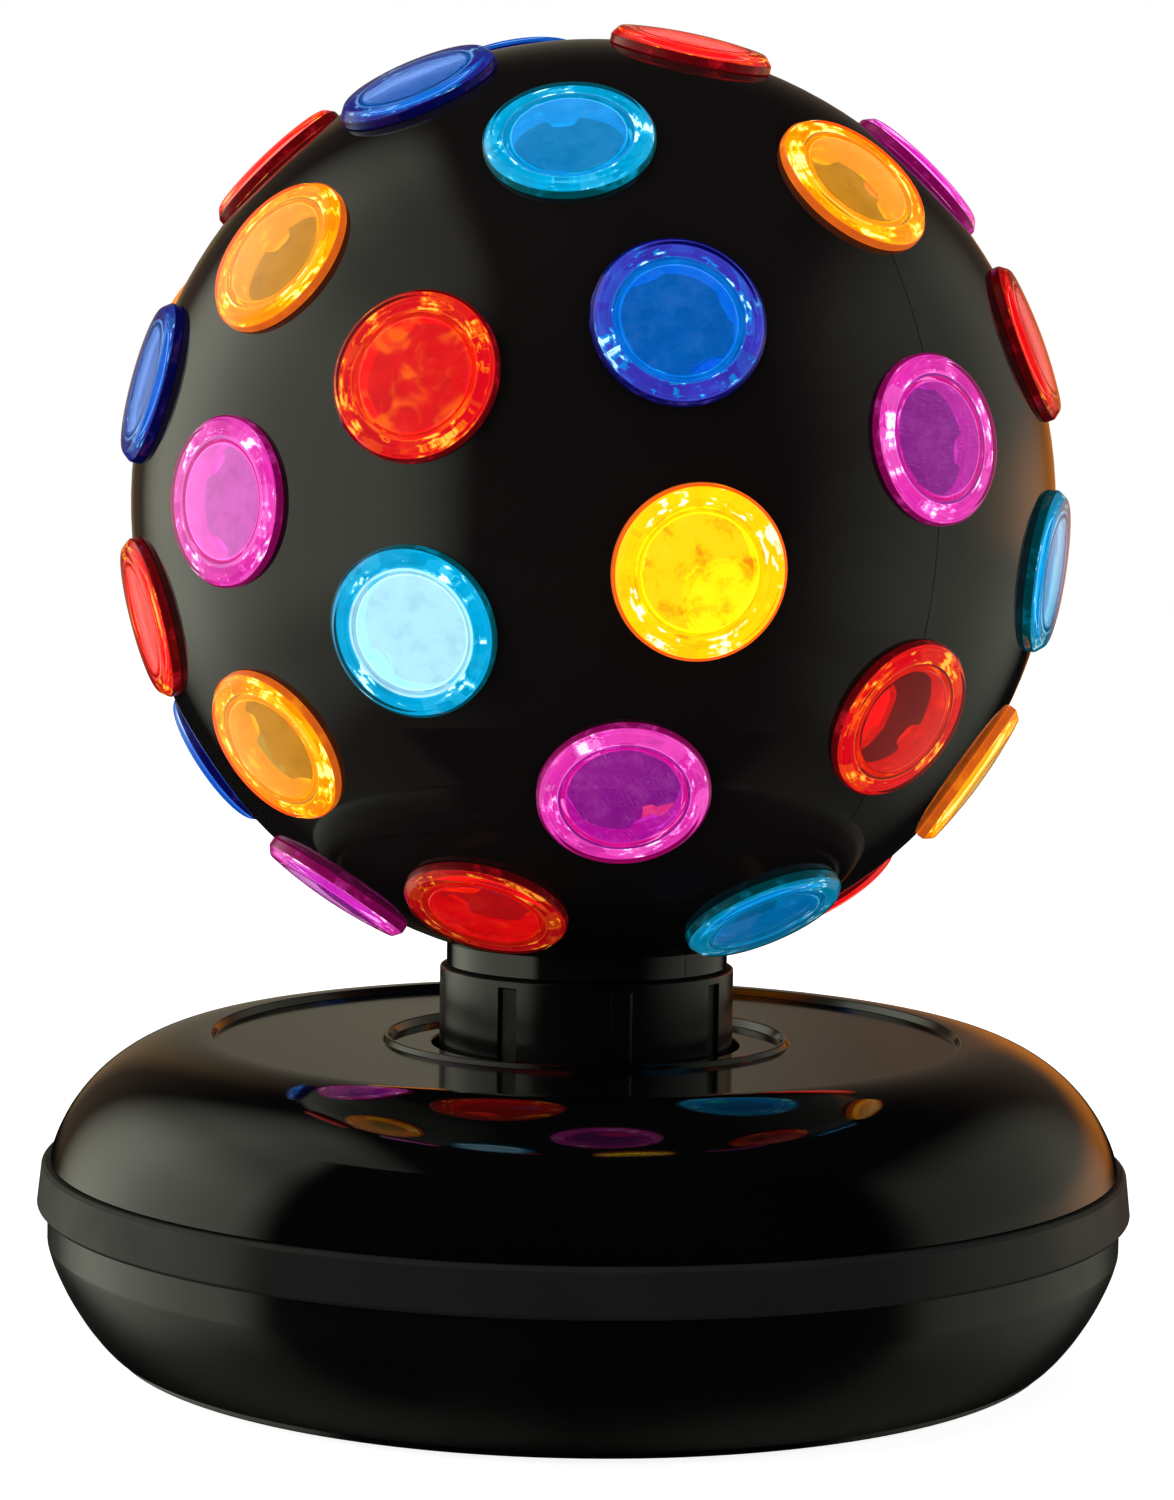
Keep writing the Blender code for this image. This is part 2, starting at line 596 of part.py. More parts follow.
def make_lower_shell():
    """The bowl, with its screw bosses and the window for the rear panel."""
    outer = [(BAND_SEAT_RADIUS, SHELL_SEAM - FIT_GAP / 2), (BAND_SEAT_RADIUS, BAND_BOTTOM - FIT_GAP)]
    outer += [(BOWL_RADIUS, BAND_BOTTOM - FIT_GAP)] + bowl_curve()
    inner = bowl_curve(BASE_WALL)[::-1]
    inner += [(BAND_SEAT_RADIUS - BASE_WALL, SHELL_SEAM - FIT_GAP / 2)]
    shell = place(
        "base_lower_shell", turned_mesh("base_lower_shell", outer + inner, BASE_SEGMENTS), "satin_black"
    )

    boss_bottom = PLATE_TOP + FIT_GAP
    boss = turned_mesh(
        "boss", disc_profile(BOSS_RADIUS, boss_bottom, boss_bottom + BOSS_HEIGHT), SMALL_SEGMENTS
    )
    rib = box_mesh(
        "boss_rib",
        (0, -BOSS_RIB_WIDTH / 2, boss_bottom + BOSS_RIB_WIDTH),
        (
            BOWL_RADIUS - BASE_WALL - PLATE_SCREW_PLACE_RADIUS - JOIN_DEPTH,
            BOSS_RIB_WIDTH / 2,
            boss_bottom + BOSS_HEIGHT,
        ),
    )
    boss_hole = turned_mesh(
        "boss_hole",
        disc_profile(
            PLATE_SCREW_RADIUS + FIT_GAP,
            boss_bottom - CUT_OVERRUN,
            PLATE_BOTTOM + 2 * FIT_GAP + PLATE_SCREW_LENGTH,
        ),
        SMALL_SEGMENTS,
    )
    solids = []
    holes = []
    for number, spot in enumerate(
        round_places(PLATE_SCREW_COUNT, PLATE_SCREW_PLACE_RADIUS, PLATE_SCREW_FIRST_ANGLE)
    ):
        turn = Matrix.Rotation(PLATE_SCREW_FIRST_ANGLE + math.tau * number / PLATE_SCREW_COUNT, 4, "Z")
        solids.append((boss, Matrix.Translation(spot)))
        solids.append((rib, Matrix.Translation(spot) @ turn))
        holes.append((boss_hole, Matrix.Translation(spot)))

    window_half_width = PANEL_HALF_WIDTH + FIT_GAP
    window_half_height = PANEL_HALF_HEIGHT + FIT_GAP
    frame = helper(
        "panel_frame",
        box_mesh(
            "panel_frame",
            (-window_half_width - FRAME_WALL, FRAME_INNER, PANEL_CENTRE - window_half_height - FRAME_WALL),
            (window_half_width + FRAME_WALL, BAND_SEAT_RADIUS, PANEL_CENTRE + window_half_height),
        ),
    )
    envelope = [(0, BAND_BOTTOM - FIT_GAP), (BOWL_RADIUS - JOIN_DEPTH, BAND_BOTTOM - FIT_GAP)]
    envelope += bowl_curve(JOIN_DEPTH) + [(0, BOWL_BOTTOM)]
    bowl_space = helper("bowl_space", turned_mesh("bowl_space", envelope, BASE_SEGMENTS))
    combine(frame, bowl_space, "INTERSECT")
    combine(shell, frame, "UNION")
    for number, (mesh, matrix) in enumerate(solids):
        piece = helper(f"boss_solid_{number}", joined_mesh(f"boss_solid_{number}", [(mesh, matrix)]))
        combine(piece, bowl_space, "INTERSECT")
        combine(shell, piece, "UNION")
    window = box_mesh(
        "panel_window",
        (-window_half_width, FRAME_INNER - CUT_OVERRUN, PANEL_CENTRE - window_half_height),
        (window_half_width, BOWL_RADIUS + CUT_OVERRUN, PANEL_CENTRE + window_half_height),
    )
    holes.append((window, Matrix.Identity(4)))
    combine(shell, helper("shell_holes", joined_mesh("shell_holes", holes)), "DIFFERENCE")


def make_band():
    """The band that covers the seam of the base."""
    inner = BAND_SEAT_RADIUS + FIT_GAP
    profile = [
        (inner, BAND_BOTTOM), (BAND_BOTTOM_RADIUS - BAND_CHAMFER, BAND_BOTTOM),
        (BAND_BOTTOM_RADIUS, BAND_BOTTOM + BAND_CHAMFER), (BAND_TOP_RADIUS, BAND_TOP - BAND_CHAMFER),
        (BAND_TOP_RADIUS - BAND_CHAMFER, BAND_TOP), (inner, BAND_TOP),
    ]
    place("base_band", turned_mesh("base_band", profile, BASE_SEGMENTS), "charcoal")


def make_upper_shell():
    """The glossy top of the base: shoulder, lip, recessed deck, bead and neck hole."""
    seam = SHELL_SEAM + FIT_GAP / 2
    above_band = BAND_TOP + FIT_GAP
    hole = COLLAR_RADIUS + NECK_HOLE_CLEARANCE
    shoulder = shoulder_curve()
    shoulder[0] = (shoulder[0][0], above_band)
    bead_inner = BEAD_RADIUS - BEAD_WIDTH
    bead_slope = BEAD_WIDTH * BEAD_SLOPE_SHARE
    outer = [(BAND_SEAT_RADIUS, seam), (BAND_SEAT_RADIUS, above_band)] + shoulder
    outer += [
        (LIP_RADIUS - LIP_WIDTH / 2, SHOULDER_TOP), (LIP_RADIUS - LIP_WIDTH, DECK_TOP),
        (BEAD_RADIUS, DECK_TOP), (BEAD_RADIUS - bead_slope, BEAD_TOP),
        (bead_inner + bead_slope, BEAD_TOP), (bead_inner, NECK_FLOOR), (hole, NECK_FLOOR),
    ]
    inner = [(hole, DECK_UNDERSIDE)] + shoulder_curve(BASE_WALL + SHOULDER_TOP - DECK_TOP)[::-2]
    inner += [(BAND_SEAT_RADIUS - BASE_WALL, seam)]
    place("base_upper_shell", turned_mesh("base_upper_shell", outer + inner, BASE_SEGMENTS), "gloss_black")


def make_stem_and_lamp():
    """The stem that stands still inside the ball, and the lamp on it."""
    flange_bottom = PLATE_TOP + FIT_GAP
    flange_top = flange_bottom + STEM_FLANGE_HEIGHT
    profile = [
        (STEM_BORE, flange_bottom), (STEM_FLANGE_RADIUS, flange_bottom),
        (STEM_FLANGE_RADIUS, flange_top), (STEM_COLUMN_RADIUS, flange_top),
        (STEM_COLUMN_RADIUS, STEM_COLUMN_TOP), (STEM_RADIUS, STEM_COLUMN_TOP),
        (STEM_RADIUS, STEM_TOP), (STEM_BORE, STEM_TOP),
    ]
    stem = place("lamp_stem", turned_mesh("lamp_stem", profile, TURNED_SEGMENTS), "white_plastic")
    window = turned_mesh(
        "stem_window", disc_profile(STEM_WINDOW_RADIUS, 0, STEM_COLUMN_RADIUS + CUT_OVERRUN), SMALL_SEGMENTS
    )
    window_place = lying_along_y((0, 0, STEM_WINDOW_HEIGHT))
    combine(stem, helper("lead_window", joined_mesh("lead_window", [(window, window_place)])), "DIFFERENCE")

    ring = tube_profile(STEM_RADIUS + FIT_GAP, STEM_COLUMN_RADIUS, GLIDE_BOTTOM, GLIDE_BOTTOM + GLIDE_HEIGHT)
    place("glide_ring", turned_mesh("glide_ring", ring, TURNED_SEGMENTS), "amber_plastic")

    board = disc_profile(LED_BOARD_RADIUS, LED_BOARD_BOTTOM, LED_BOARD_TOP)
    place("led_board", turned_mesh("led_board", board, TURNED_SEGMENTS), "circuit_green")

    led_bottom = LED_BOARD_TOP + FIT_GAP
    led_top = led_bottom + LED_HEIGHT
    dome = [(0, led_bottom)] + superellipse(
        LED_RADIUS, led_top - LED_RADIUS, 0.0, led_top, 2.0, BOWL_POINTS - 1
    )
    dome.insert(1, (LED_RADIUS, led_bottom))
    dome[-1] = (0, led_top)
    place("led_emitter", turned_mesh("led_emitter", dome, SMALL_SEGMENTS), "led_resin")


def gear_outline(teeth):
    """The outline of a spur gear with straight flanks, and a tooth centred on +X."""
    pitch_radius = TOOTH_MODULE * teeth / 2
    root = pitch_radius - TOOTH_MODULE * TOOTH_DEDENDUM_SHARE
    tip = pitch_radius + TOOTH_MODULE * TOOTH_ADDENDUM_SHARE
    step = math.tau / teeth
    corners = (
        (root, -TOOTH_ROOT_WIDTH_SHARE), (tip, -TOOTH_TIP_WIDTH_SHARE),
        (tip, TOOTH_TIP_WIDTH_SHARE), (root, TOOTH_ROOT_WIDTH_SHARE),
    )
    points = []
    for tooth in range(teeth):
        for radius, width_share in corners:
            angle = step * (tooth + width_share / 2)
            points.append((radius * math.cos(angle), radius * math.sin(angle)))
    return points


def extruded_mesh(name, outline, bottom, top):
    """An upright solid on an outline in XY."""
    shape = bmesh.new()
    base = shape.faces.new([shape.verts.new((x, y, bottom)) for x, y in outline])
    raised = bmesh.ops.extrude_face_region(shape, geom=[base])["geom"]
    lifted = [part for part in raised if isinstance(part, bmesh.types.BMVert)]
    bmesh.ops.translate(shape, vec=(0, 0, top - bottom), verts=lifted)
    return mesh_from(shape, name)


def pinion_place():
    """Where the pinion's axis meets the floor."""
    return Vector((-PITCH_TO_PINION, 0, 0))


def motor_screw_places():
    """Where the axes of the motor's two screws meet the floor."""
    return [pinion_place() + Vector((0, side * MOTOR_SCREW_REACH, 0)) for side in (-1, 1)]


def make_motor():
    """The gear motor on its posts, its screws and the pinion on its shaft."""
    spot = pinion_place()
    motor = place(
        "gear_motor",
        turned_mesh(
            "gear_motor", disc_profile(MOTOR_RADIUS, MOTOR_TOP - MOTOR_HEIGHT, MOTOR_TOP), TURNED_SEGMENTS
        ),
        "zinc_steel",
        spot,
    )
    ears = box_mesh(
        "motor_ears",
        (-MOTOR_EAR_HALF_WIDTH, -MOTOR_EAR_REACH, MOTOR_EAR_BOTTOM),
        (MOTOR_EAR_HALF_WIDTH, MOTOR_EAR_REACH, MOTOR_TOP),
    )
    combine(motor, helper("motor_ears", ears, spot), "UNION")
    shaft_bottom = GEAR_BOTTOM + PINION_HEIGHT_MARGIN - SHAFT_LENGTH
    shaft_hole = turned_mesh(
        "shaft_hole",
        disc_profile(SHAFT_RADIUS + FIT_GAP, shaft_bottom - FIT_GAP, MOTOR_TOP + CUT_OVERRUN),
        SMALL_SEGMENTS,
    )
    ear_hole = turned_mesh(
        "ear_hole",
        disc_profile(
            MOTOR_SCREW_RADIUS + FIT_GAP, MOTOR_EAR_BOTTOM - CUT_OVERRUN, MOTOR_TOP + CUT_OVERRUN
        ),
        SMALL_SEGMENTS,
    )
    cuts = [(shaft_hole, Matrix.Identity(4))]
    cuts += [(ear_hole, Matrix.Translation(place_at - spot)) for place_at in motor_screw_places()]
    combine(motor, helper("motor_holes", joined_mesh("motor_holes", cuts), spot), "DIFFERENCE")

    head_bottom = MOTOR_TOP + FIT_GAP
    screw_mesh = turned_mesh(
        "motor_screw",
        [
            (0, head_bottom - MOTOR_SCREW_LENGTH), (MOTOR_SCREW_RADIUS, head_bottom - MOTOR_SCREW_LENGTH),
            (MOTOR_SCREW_RADIUS, head_bottom), (MOTOR_SCREW_HEAD_RADIUS, head_bottom),
            (MOTOR_SCREW_HEAD_RADIUS, head_bottom + MOTOR_SCREW_HEAD_HEIGHT),
            (0, head_bottom + MOTOR_SCREW_HEAD_HEIGHT),
        ],
        SMALL_SEGMENTS,
    )
    for number, place_at in enumerate(motor_screw_places(), start=1):
        place(f"motor_screw_{number}", screw_mesh, "zinc_steel", place_at)

    pinion_bottom = GEAR_BOTTOM + PINION_HEIGHT_MARGIN
    pinion_top = GEAR_TOP - PINION_HEIGHT_MARGIN
    pinion = place(
        "drive_pinion",
        extruded_mesh("drive_pinion", gear_outline(PINION_TEETH), pinion_bottom, pinion_top),
        "white_plastic",
        spot,
    )
    pinion.rotation_euler.z = math.pi / PINION_TEETH
    shaft = turned_mesh(
        "shaft", disc_profile(SHAFT_RADIUS, shaft_bottom, pinion_bottom + JOIN_DEPTH), SMALL_SEGMENTS
    )
    combine(pinion, helper("shaft", shaft, spot), "UNION")


def make_turntable(axis):
    """The gear that carries the ball, and the ribbed collar on it."""
    gear = place(
        "turntable_gear",
        extruded_mesh("turntable_gear", gear_outline(TURNTABLE_TEETH), GEAR_BOTTOM, GEAR_TOP),
        "white_plastic",
    )
    bore = disc_profile(STEM_RADIUS + FIT_GAP, GEAR_BOTTOM - CUT_OVERRUN, GEAR_TOP + CUT_OVERRUN)
    combine(gear, helper("gear_bore", turned_mesh("gear_bore", bore, TURNED_SEGMENTS)), "DIFFERENCE")

    collar = place(
        "ribbed_collar",
        turned_mesh(
            "ribbed_collar",
            tube_profile(COLLAR_BORE, COLLAR_RADIUS, COLLAR_BOTTOM, COLLAR_TOP),
            BASE_SEGMENTS,
        ),
        "satin_black",
    )
    groove = box_mesh(
        "groove",
        (COLLAR_RADIUS - COLLAR_GROOVE_DEPTH, -COLLAR_GROOVE_WIDTH / 2, COLLAR_BOTTOM - CUT_OVERRUN),
        (COLLAR_RADIUS + CUT_OVERRUN, COLLAR_GROOVE_WIDTH / 2, COLLAR_TOP - COLLAR_RIM_HEIGHT),
    )
    grooves = []
    for number in range(COLLAR_GROOVES):
        angle = COLLAR_GROOVE_LONGITUDE - math.radians(90) + math.tau * number / COLLAR_GROOVES
        grooves.append((groove, Matrix.Rotation(angle, 4, "Z")))
    combine(collar, helper("collar_grooves", joined_mesh("collar_grooves", grooves)), "DIFFERENCE")
    for item in (gear, collar):
        item.parent = axis
        item.matrix_parent_inverse = Matrix.Translation(-axis.location)


def ball_profile():
    """The ball's section from its top, down the outside, into the neck and up the inside."""
    outer_end = math.pi - math.asin(NECK_RADIUS / BALL_RADIUS)
    inner_radius = BALL_RADIUS - BALL_WALL
    neck_bore = SPIGOT_RADIUS - NECK_WALL
    inner_end = math.pi - math.asin(neck_bore / inner_radius)
    points = [(0, BALL_RADIUS)]
    for ring in range(1, BALL_RINGS + 1):
        angle = outer_end * ring / BALL_RINGS
        points.append((BALL_RADIUS * math.sin(angle), BALL_RADIUS * math.cos(angle)))
    shoulder = NECK_SHOULDER - BALL_CENTRE
    points += [
        (NECK_RADIUS, shoulder), (SPIGOT_RADIUS, shoulder),
        (SPIGOT_RADIUS, shoulder - SPIGOT_LENGTH), (neck_bore, shoulder - SPIGOT_LENGTH),
    ]
    for ring in range(BALL_RINGS, 0, -1):
        angle = inner_end * ring / BALL_RINGS
        points.append((inner_radius * math.sin(angle), inner_radius * math.cos(angle)))
    points.append((0, inner_radius))
    return points


def lens_direction(pole_angle, distance, bearing):
    """A unit vector at a distance from a half's pole. Bearing 0 is up, and it grows with longitude."""
    pole = Vector((math.cos(pole_angle), math.sin(pole_angle), 0))
    along = Vector((-math.sin(pole_angle), math.cos(pole_angle), 0))
    sideways = Vector((0, 0, 1)) * math.cos(bearing) + along * math.sin(bearing)
    return pole * math.cos(distance) + sideways * math.sin(distance)


def half_directions(pole_angle):
    """The directions of one half's lenses: its pole, its inner ring and its outer ring."""
    found = [lens_direction(pole_angle, 0.0, 0.0)]
    for distance, count in ((INNER_RING_ANGLE, INNER_RING_COUNT), (OUTER_RING_ANGLE, OUTER_RING_COUNT)):
        for number in range(count):
            found.append(lens_direction(pole_angle, distance, math.tau * number / count))
    return found


def seam_directions(pole_angle):
    """The directions of the lenses on the seam, where the neck takes the lowest place."""
    step = math.tau / OUTER_RING_COUNT
    return [
        lens_direction(pole_angle, math.radians(90), step * (number + 0.5))
        for number in range(OUTER_RING_COUNT)
        if number != OUTER_RING_COUNT // 2
    ]


def facing(direction):
    """The matrix that turns +Z to the direction."""
    return direction.to_track_quat("Z", "Y").to_matrix().to_4x4()


def on_sphere(radius, off_axis):
    """The height at which a sphere round the ball's centre is that far off an axis."""
    return math.sqrt(radius**2 - off_axis**2)


def lens_profile():
    """A lens: a cap that follows the ball, with a rounded rim, and a snap skirt inside it."""
    face = BALL_RADIUS + LENS_PROUD
    seat = BALL_RADIUS + FIT_GAP
    inside = LENS_SKIRT_RADIUS - LENS_SKIRT_WALL
    return [
        (0, face),
        (LENS_RADIUS - LENS_SHOULDER_WIDTH, on_sphere(face, LENS_RADIUS - LENS_SHOULDER_WIDTH)),
        (LENS_RADIUS, on_sphere(BALL_RADIUS + LENS_RIM_PROUD, LENS_RADIUS)),
        (LENS_RADIUS, on_sphere(seat, LENS_RADIUS)),
        (LENS_SKIRT_RADIUS, on_sphere(seat, LENS_SKIRT_RADIUS)),
        (LENS_SKIRT_RADIUS, BALL_RADIUS - LENS_SKIRT_DEPTH),
        (inside, BALL_RADIUS - LENS_SKIRT_DEPTH),
        (inside, on_sphere(face, inside) - LENS_WINDOW_THICKNESS),
        (0, face - LENS_WINDOW_THICKNESS),
    ]


def make_ball(axis):
    """The two half shells and the lenses."""
    front_pole = SEAM_LONGITUDE - math.radians(180)
    back_pole = SEAM_LONGITUDE
    half_mesh = turned_mesh("ball_half", ball_profile(), BALL_SEGMENTS // 2, math.pi)
    skirt_hole = turned_mesh(
        "skirt_hole",
        disc_profile(
            LENS_SKIRT_RADIUS + FIT_GAP,
            BALL_RADIUS - LENS_SKIRT_DEPTH - CUT_OVERRUN,
            BALL_RADIUS + CUT_OVERRUN,
        ),
        LENS_SEGMENTS,
    )
    cap = turned_mesh(
        "lens_cap",
        lens_profile()[:3] + [
            (LENS_RADIUS, BALL_RADIUS - BALL_WALL - JOIN_DEPTH), (0, BALL_RADIUS - BALL_WALL - JOIN_DEPTH),
        ],
        LENS_SEGMENTS,
    )
    centre = axis.location
    seam = seam_directions(front_pole)
    seam_holes = [(skirt_hole, facing(direction)) for direction in seam]
    front_holes = [(skirt_hole, facing(direction)) for direction in half_directions(front_pole)]
    front_cutter = helper("front_holes", joined_mesh("front_holes", front_holes + seam_holes), centre)
    back_cutter = helper("back_holes", joined_mesh("back_holes", seam_holes), centre)
    caps = [(cap, facing(direction)) for direction in half_directions(back_pole)]
    back_caps = helper("back_caps", joined_mesh("back_caps", caps), centre)

    for name, pole_angle in (("ball_half_front", front_pole), ("ball_half_back", back_pole)):
        pole = lens_direction(pole_angle, 0.0, 0.0)
        half = place(name, half_mesh.copy(), "gloss_black", pole * (SEAM_GAP / 2), axis)
        half.rotation_euler.z = pole_angle - math.radians(90)
        if name == "ball_half_back":
            combine(half, back_caps, "UNION")
        combine(half, front_cutter if name == "ball_half_front" else back_cutter, "DIFFERENCE")

    lens_mesh = turned_mesh("lens", lens_profile(), LENS_SEGMENTS)
    front = half_directions(front_pole)
    named = [("lens_pole", "magenta", front[0])]
    for number, colour in enumerate(INNER_RING_COLOURS):
        named.append((f"lens_inner_{number + 1}", colour, front[1 + number]))
    for number, colour in enumerate(OUTER_RING_COLOURS):
        named.append((f"lens_outer_{number + 1}", colour, front[1 + INNER_RING_COUNT + number]))
    for number, colour in enumerate(SEAM_RING_COLOURS):
        named.append((f"lens_seam_{number + 1}", colour, seam[number]))
    for name, colour, direction in named:
        mesh = lens_mesh.copy()
        mesh.materials.clear()
        lens = place(name, mesh, f"lens_{colour}", (0, 0, 0), axis)
        lens.rotation_mode = "QUATERNION"
        lens.rotation_quaternion = direction.to_track_quat("Z", "Y")


def make_driver_board():
    """The driver board behind the rear panel."""
    board = place(
        "driver_board",
        box_mesh(
            "driver_board",
            (-DRIVER_HALF_WIDTH, DRIVER_FRONT, DRIVER_UNDERSIDE),
            (DRIVER_HALF_WIDTH, DRIVER_BACK, DRIVER_TOP),
        ),
        "circuit_green",
    )
    capacitor = turned_mesh(
        "capacitor",
        disc_profile(CAPACITOR_RADIUS, DRIVER_TOP - JOIN_DEPTH, DRIVER_TOP + CAPACITOR_HEIGHT),
        SMALL_SEGMENTS,
    )
    chip = box_mesh(
        "chip",
        (-CHIP_OFF_CENTRE - CHIP_HALF_SIDE, CHIP_Y - CHIP_HALF_SIDE, DRIVER_TOP - JOIN_DEPTH),
        (-CHIP_OFF_CENTRE + CHIP_HALF_SIDE, CHIP_Y + CHIP_HALF_SIDE, DRIVER_TOP + CHIP_HEIGHT),
    )
    fitted = [(capacitor, Matrix.Translation((CAPACITOR_X, CAPACITOR_Y, 0))), (chip, Matrix.Identity(4))]
    combine(board, helper("board_fittings", joined_mesh("board_fittings", fitted)), "UNION")


def make_rear_panel():
    """The rear panel with its power jack."""
    panel = place(
        "rear_panel",
        box_mesh(
            "rear_panel",
            (-PANEL_HALF_WIDTH, PANEL_INNER, PANEL_CENTRE - PANEL_HALF_HEIGHT),
            (PANEL_HALF_WIDTH, PANEL_OUTER, PANEL_CENTRE + PANEL_HALF_HEIGHT),
        ),
        "satin_black",
    )
    barrel_hole = turned_mesh(
        "barrel_hole",
        disc_profile(JACK_BARREL_RADIUS + FIT_GAP, 0, PANEL_THICKNESS + 2 * CUT_OVERRUN),
        TURNED_SEGMENTS,
    )
    switch_hole = box_mesh(
        "switch_hole",
        (
            SWITCH_X - SWITCH_HALF_WIDTH - FIT_GAP, PANEL_INNER - CUT_OVERRUN,
            PANEL_CENTRE - SWITCH_HALF_HEIGHT - FIT_GAP,
        ),
        (
            SWITCH_X + SWITCH_HALF_WIDTH + FIT_GAP, PANEL_OUTER + CUT_OVERRUN,
            PANEL_CENTRE + SWITCH_HALF_HEIGHT + FIT_GAP,
        ),
    )
    cuts = [
        (barrel_hole, lying_along_y((JACK_X, PANEL_INNER - CUT_OVERRUN, PANEL_CENTRE))),
        (switch_hole, Matrix.Identity(4)),
    ]
    combine(panel, helper("panel_holes", joined_mesh("panel_holes", cuts)), "DIFFERENCE")

    back = PANEL_INNER - FIT_GAP
    jack = place(
        "power_jack",
        box_mesh(
            "power_jack",
            (JACK_X - JACK_HALF_SIDE, back - JACK_DEPTH, PANEL_CENTRE - JACK_HALF_SIDE),
            (JACK_X + JACK_HALF_SIDE, back, PANEL_CENTRE + JACK_HALF_SIDE),
        ),
        "satin_black",
    )
    mouth = PANEL_OUTER + JACK_PROUD
    barrel = turned_mesh(
        "barrel", disc_profile(JACK_BARREL_RADIUS, 0, mouth - back + JOIN_DEPTH), TURNED_SEGMENTS
    )
    bore = turned_mesh(
        "bore",
        tube_profile(JACK_PIN_RADIUS, JACK_BORE_RADIUS, 0, JACK_BORE_DEPTH + CUT_OVERRUN),
        TURNED_SEGMENTS,
    )
    barrel_place = lying_along_y((JACK_X, back - JOIN_DEPTH, PANEL_CENTRE))
    bore_place = lying_along_y((JACK_X, mouth - JACK_BORE_DEPTH, PANEL_CENTRE))
    combine(jack, helper("jack_barrel", joined_mesh("jack_barrel", [(barrel, barrel_place)])), "UNION")
    combine(jack, helper("jack_bore", joined_mesh("jack_bore", [(bore, bore_place)])), "DIFFERENCE")


def make_switch():
    """The switch housing and the rocker that tilts in it about an upright pin."""
    body_front = PANEL_OUTER + FIT_GAP
    housing = place(
        "switch_housing",
        box_mesh(
            "switch_housing",
            (SWITCH_X - SWITCH_HALF_WIDTH, BEZEL_FACE - SWITCH_DEPTH, PANEL_CENTRE - SWITCH_HALF_HEIGHT),
            (SWITCH_X + SWITCH_HALF_WIDTH, body_front + JOIN_DEPTH, PANEL_CENTRE + SWITCH_HALF_HEIGHT),
        ),
        "satin_black",
    )
    bezel = box_mesh(
        "bezel",
        (
            SWITCH_X - SWITCH_HALF_WIDTH - BEZEL_MARGIN, body_front,
            PANEL_CENTRE - SWITCH_HALF_HEIGHT - BEZEL_MARGIN,
        ),
        (
            SWITCH_X + SWITCH_HALF_WIDTH + BEZEL_MARGIN, BEZEL_FACE,
            PANEL_CENTRE + SWITCH_HALF_HEIGHT + BEZEL_MARGIN,
        ),
    )
    combine(housing, helper("bezel", bezel), "UNION")
    well = box_mesh(
        "well",
        (
            SWITCH_X - SWITCH_WELL_HALF_WIDTH, BEZEL_FACE - SWITCH_WELL_DEPTH,
            PANEL_CENTRE - SWITCH_WELL_HALF_HEIGHT,
        ),
        (
            SWITCH_X + SWITCH_WELL_HALF_WIDTH, BEZEL_FACE + CUT_OVERRUN,
            PANEL_CENTRE + SWITCH_WELL_HALF_HEIGHT,
        ),
    )
    combine(housing, helper("switch_well", well), "DIFFERENCE")
    pin_reach = ROCKER_HALF_HEIGHT + ROCKER_PIN_LENGTH
    pivot = Vector((SWITCH_X, ROCKER_PIVOT_Y, PANEL_CENTRE))
    pin_hole = turned_mesh(
        "pin_hole",
        disc_profile(ROCKER_PIN_RADIUS + FIT_GAP, -pin_reach - FIT_GAP, pin_reach + FIT_GAP),
        SMALL_SEGMENTS,
    )
    combine(housing, helper("pin_hole", pin_hole, pivot), "DIFFERENCE")

    outline = [
        (-ROCKER_HALF_WIDTH, -ROCKER_BACK), (ROCKER_HALF_WIDTH, -ROCKER_BACK),
        (ROCKER_HALF_WIDTH, ROCKER_FRONT + ROCKER_END_RISE), (0, ROCKER_FRONT),
        (-ROCKER_HALF_WIDTH, ROCKER_FRONT + ROCKER_END_RISE),
    ]
    rocker = place(
        "switch_rocker",
        extruded_mesh("switch_rocker", outline, -ROCKER_HALF_HEIGHT, ROCKER_HALF_HEIGHT),
        "satin_black",
        pivot,
    )
    rocker.rotation_euler.z = ROCKER_TILT
    pin = turned_mesh("rocker_pin", disc_profile(ROCKER_PIN_RADIUS, -pin_reach, pin_reach), SMALL_SEGMENTS)
    combine(rocker, helper("rocker_pin", pin, pivot), "UNION")


def smooth_route(points):
    """Evenly spaced points on a smooth curve through the route's own points."""
    ends = [2 * points[0] - points[1], *points, 2 * points[-1] - points[-2]]
    step = LEAD_STEP_DIAMETERS * 2 * LEAD_RADIUS
    route = [points[0]]
    for before, start, stop, after in zip(ends, ends[1:], ends[2:], ends[3:]):
        count = max(1, round((stop - start).length / step))
        for number in range(1, count + 1):
            t = number / count
            route.append(
                0.5 * (
                    2 * start
                    + (stop - before) * t
                    + (2 * before - 5 * start + 4 * stop - after) * t**2
                    + (3 * start - before - 3 * stop + after) * t**3
                )
            )
    return route


def make_lead(name, points):
    """A lead: a tube along its route."""
    route = smooth_route([Vector(point) for point in points])
    curve = bpy.data.curves.new(name, "CURVE")
    curve.dimensions = "3D"
    curve.bevel_depth = LEAD_RADIUS
    curve.bevel_resolution = LEAD_BEVEL_RESOLUTION
    curve.use_fill_caps = True
    spline = curve.splines.new("POLY")
    spline.points.add(len(route) - 1)
    for number, point in enumerate(route):
        spline.points[number].co = (*point, 1)
    curve.materials.append(finish_named("lead_grey"))
    item = bpy.data.objects.new(name, curve)
    bpy.context.scene.collection.objects.link(item)


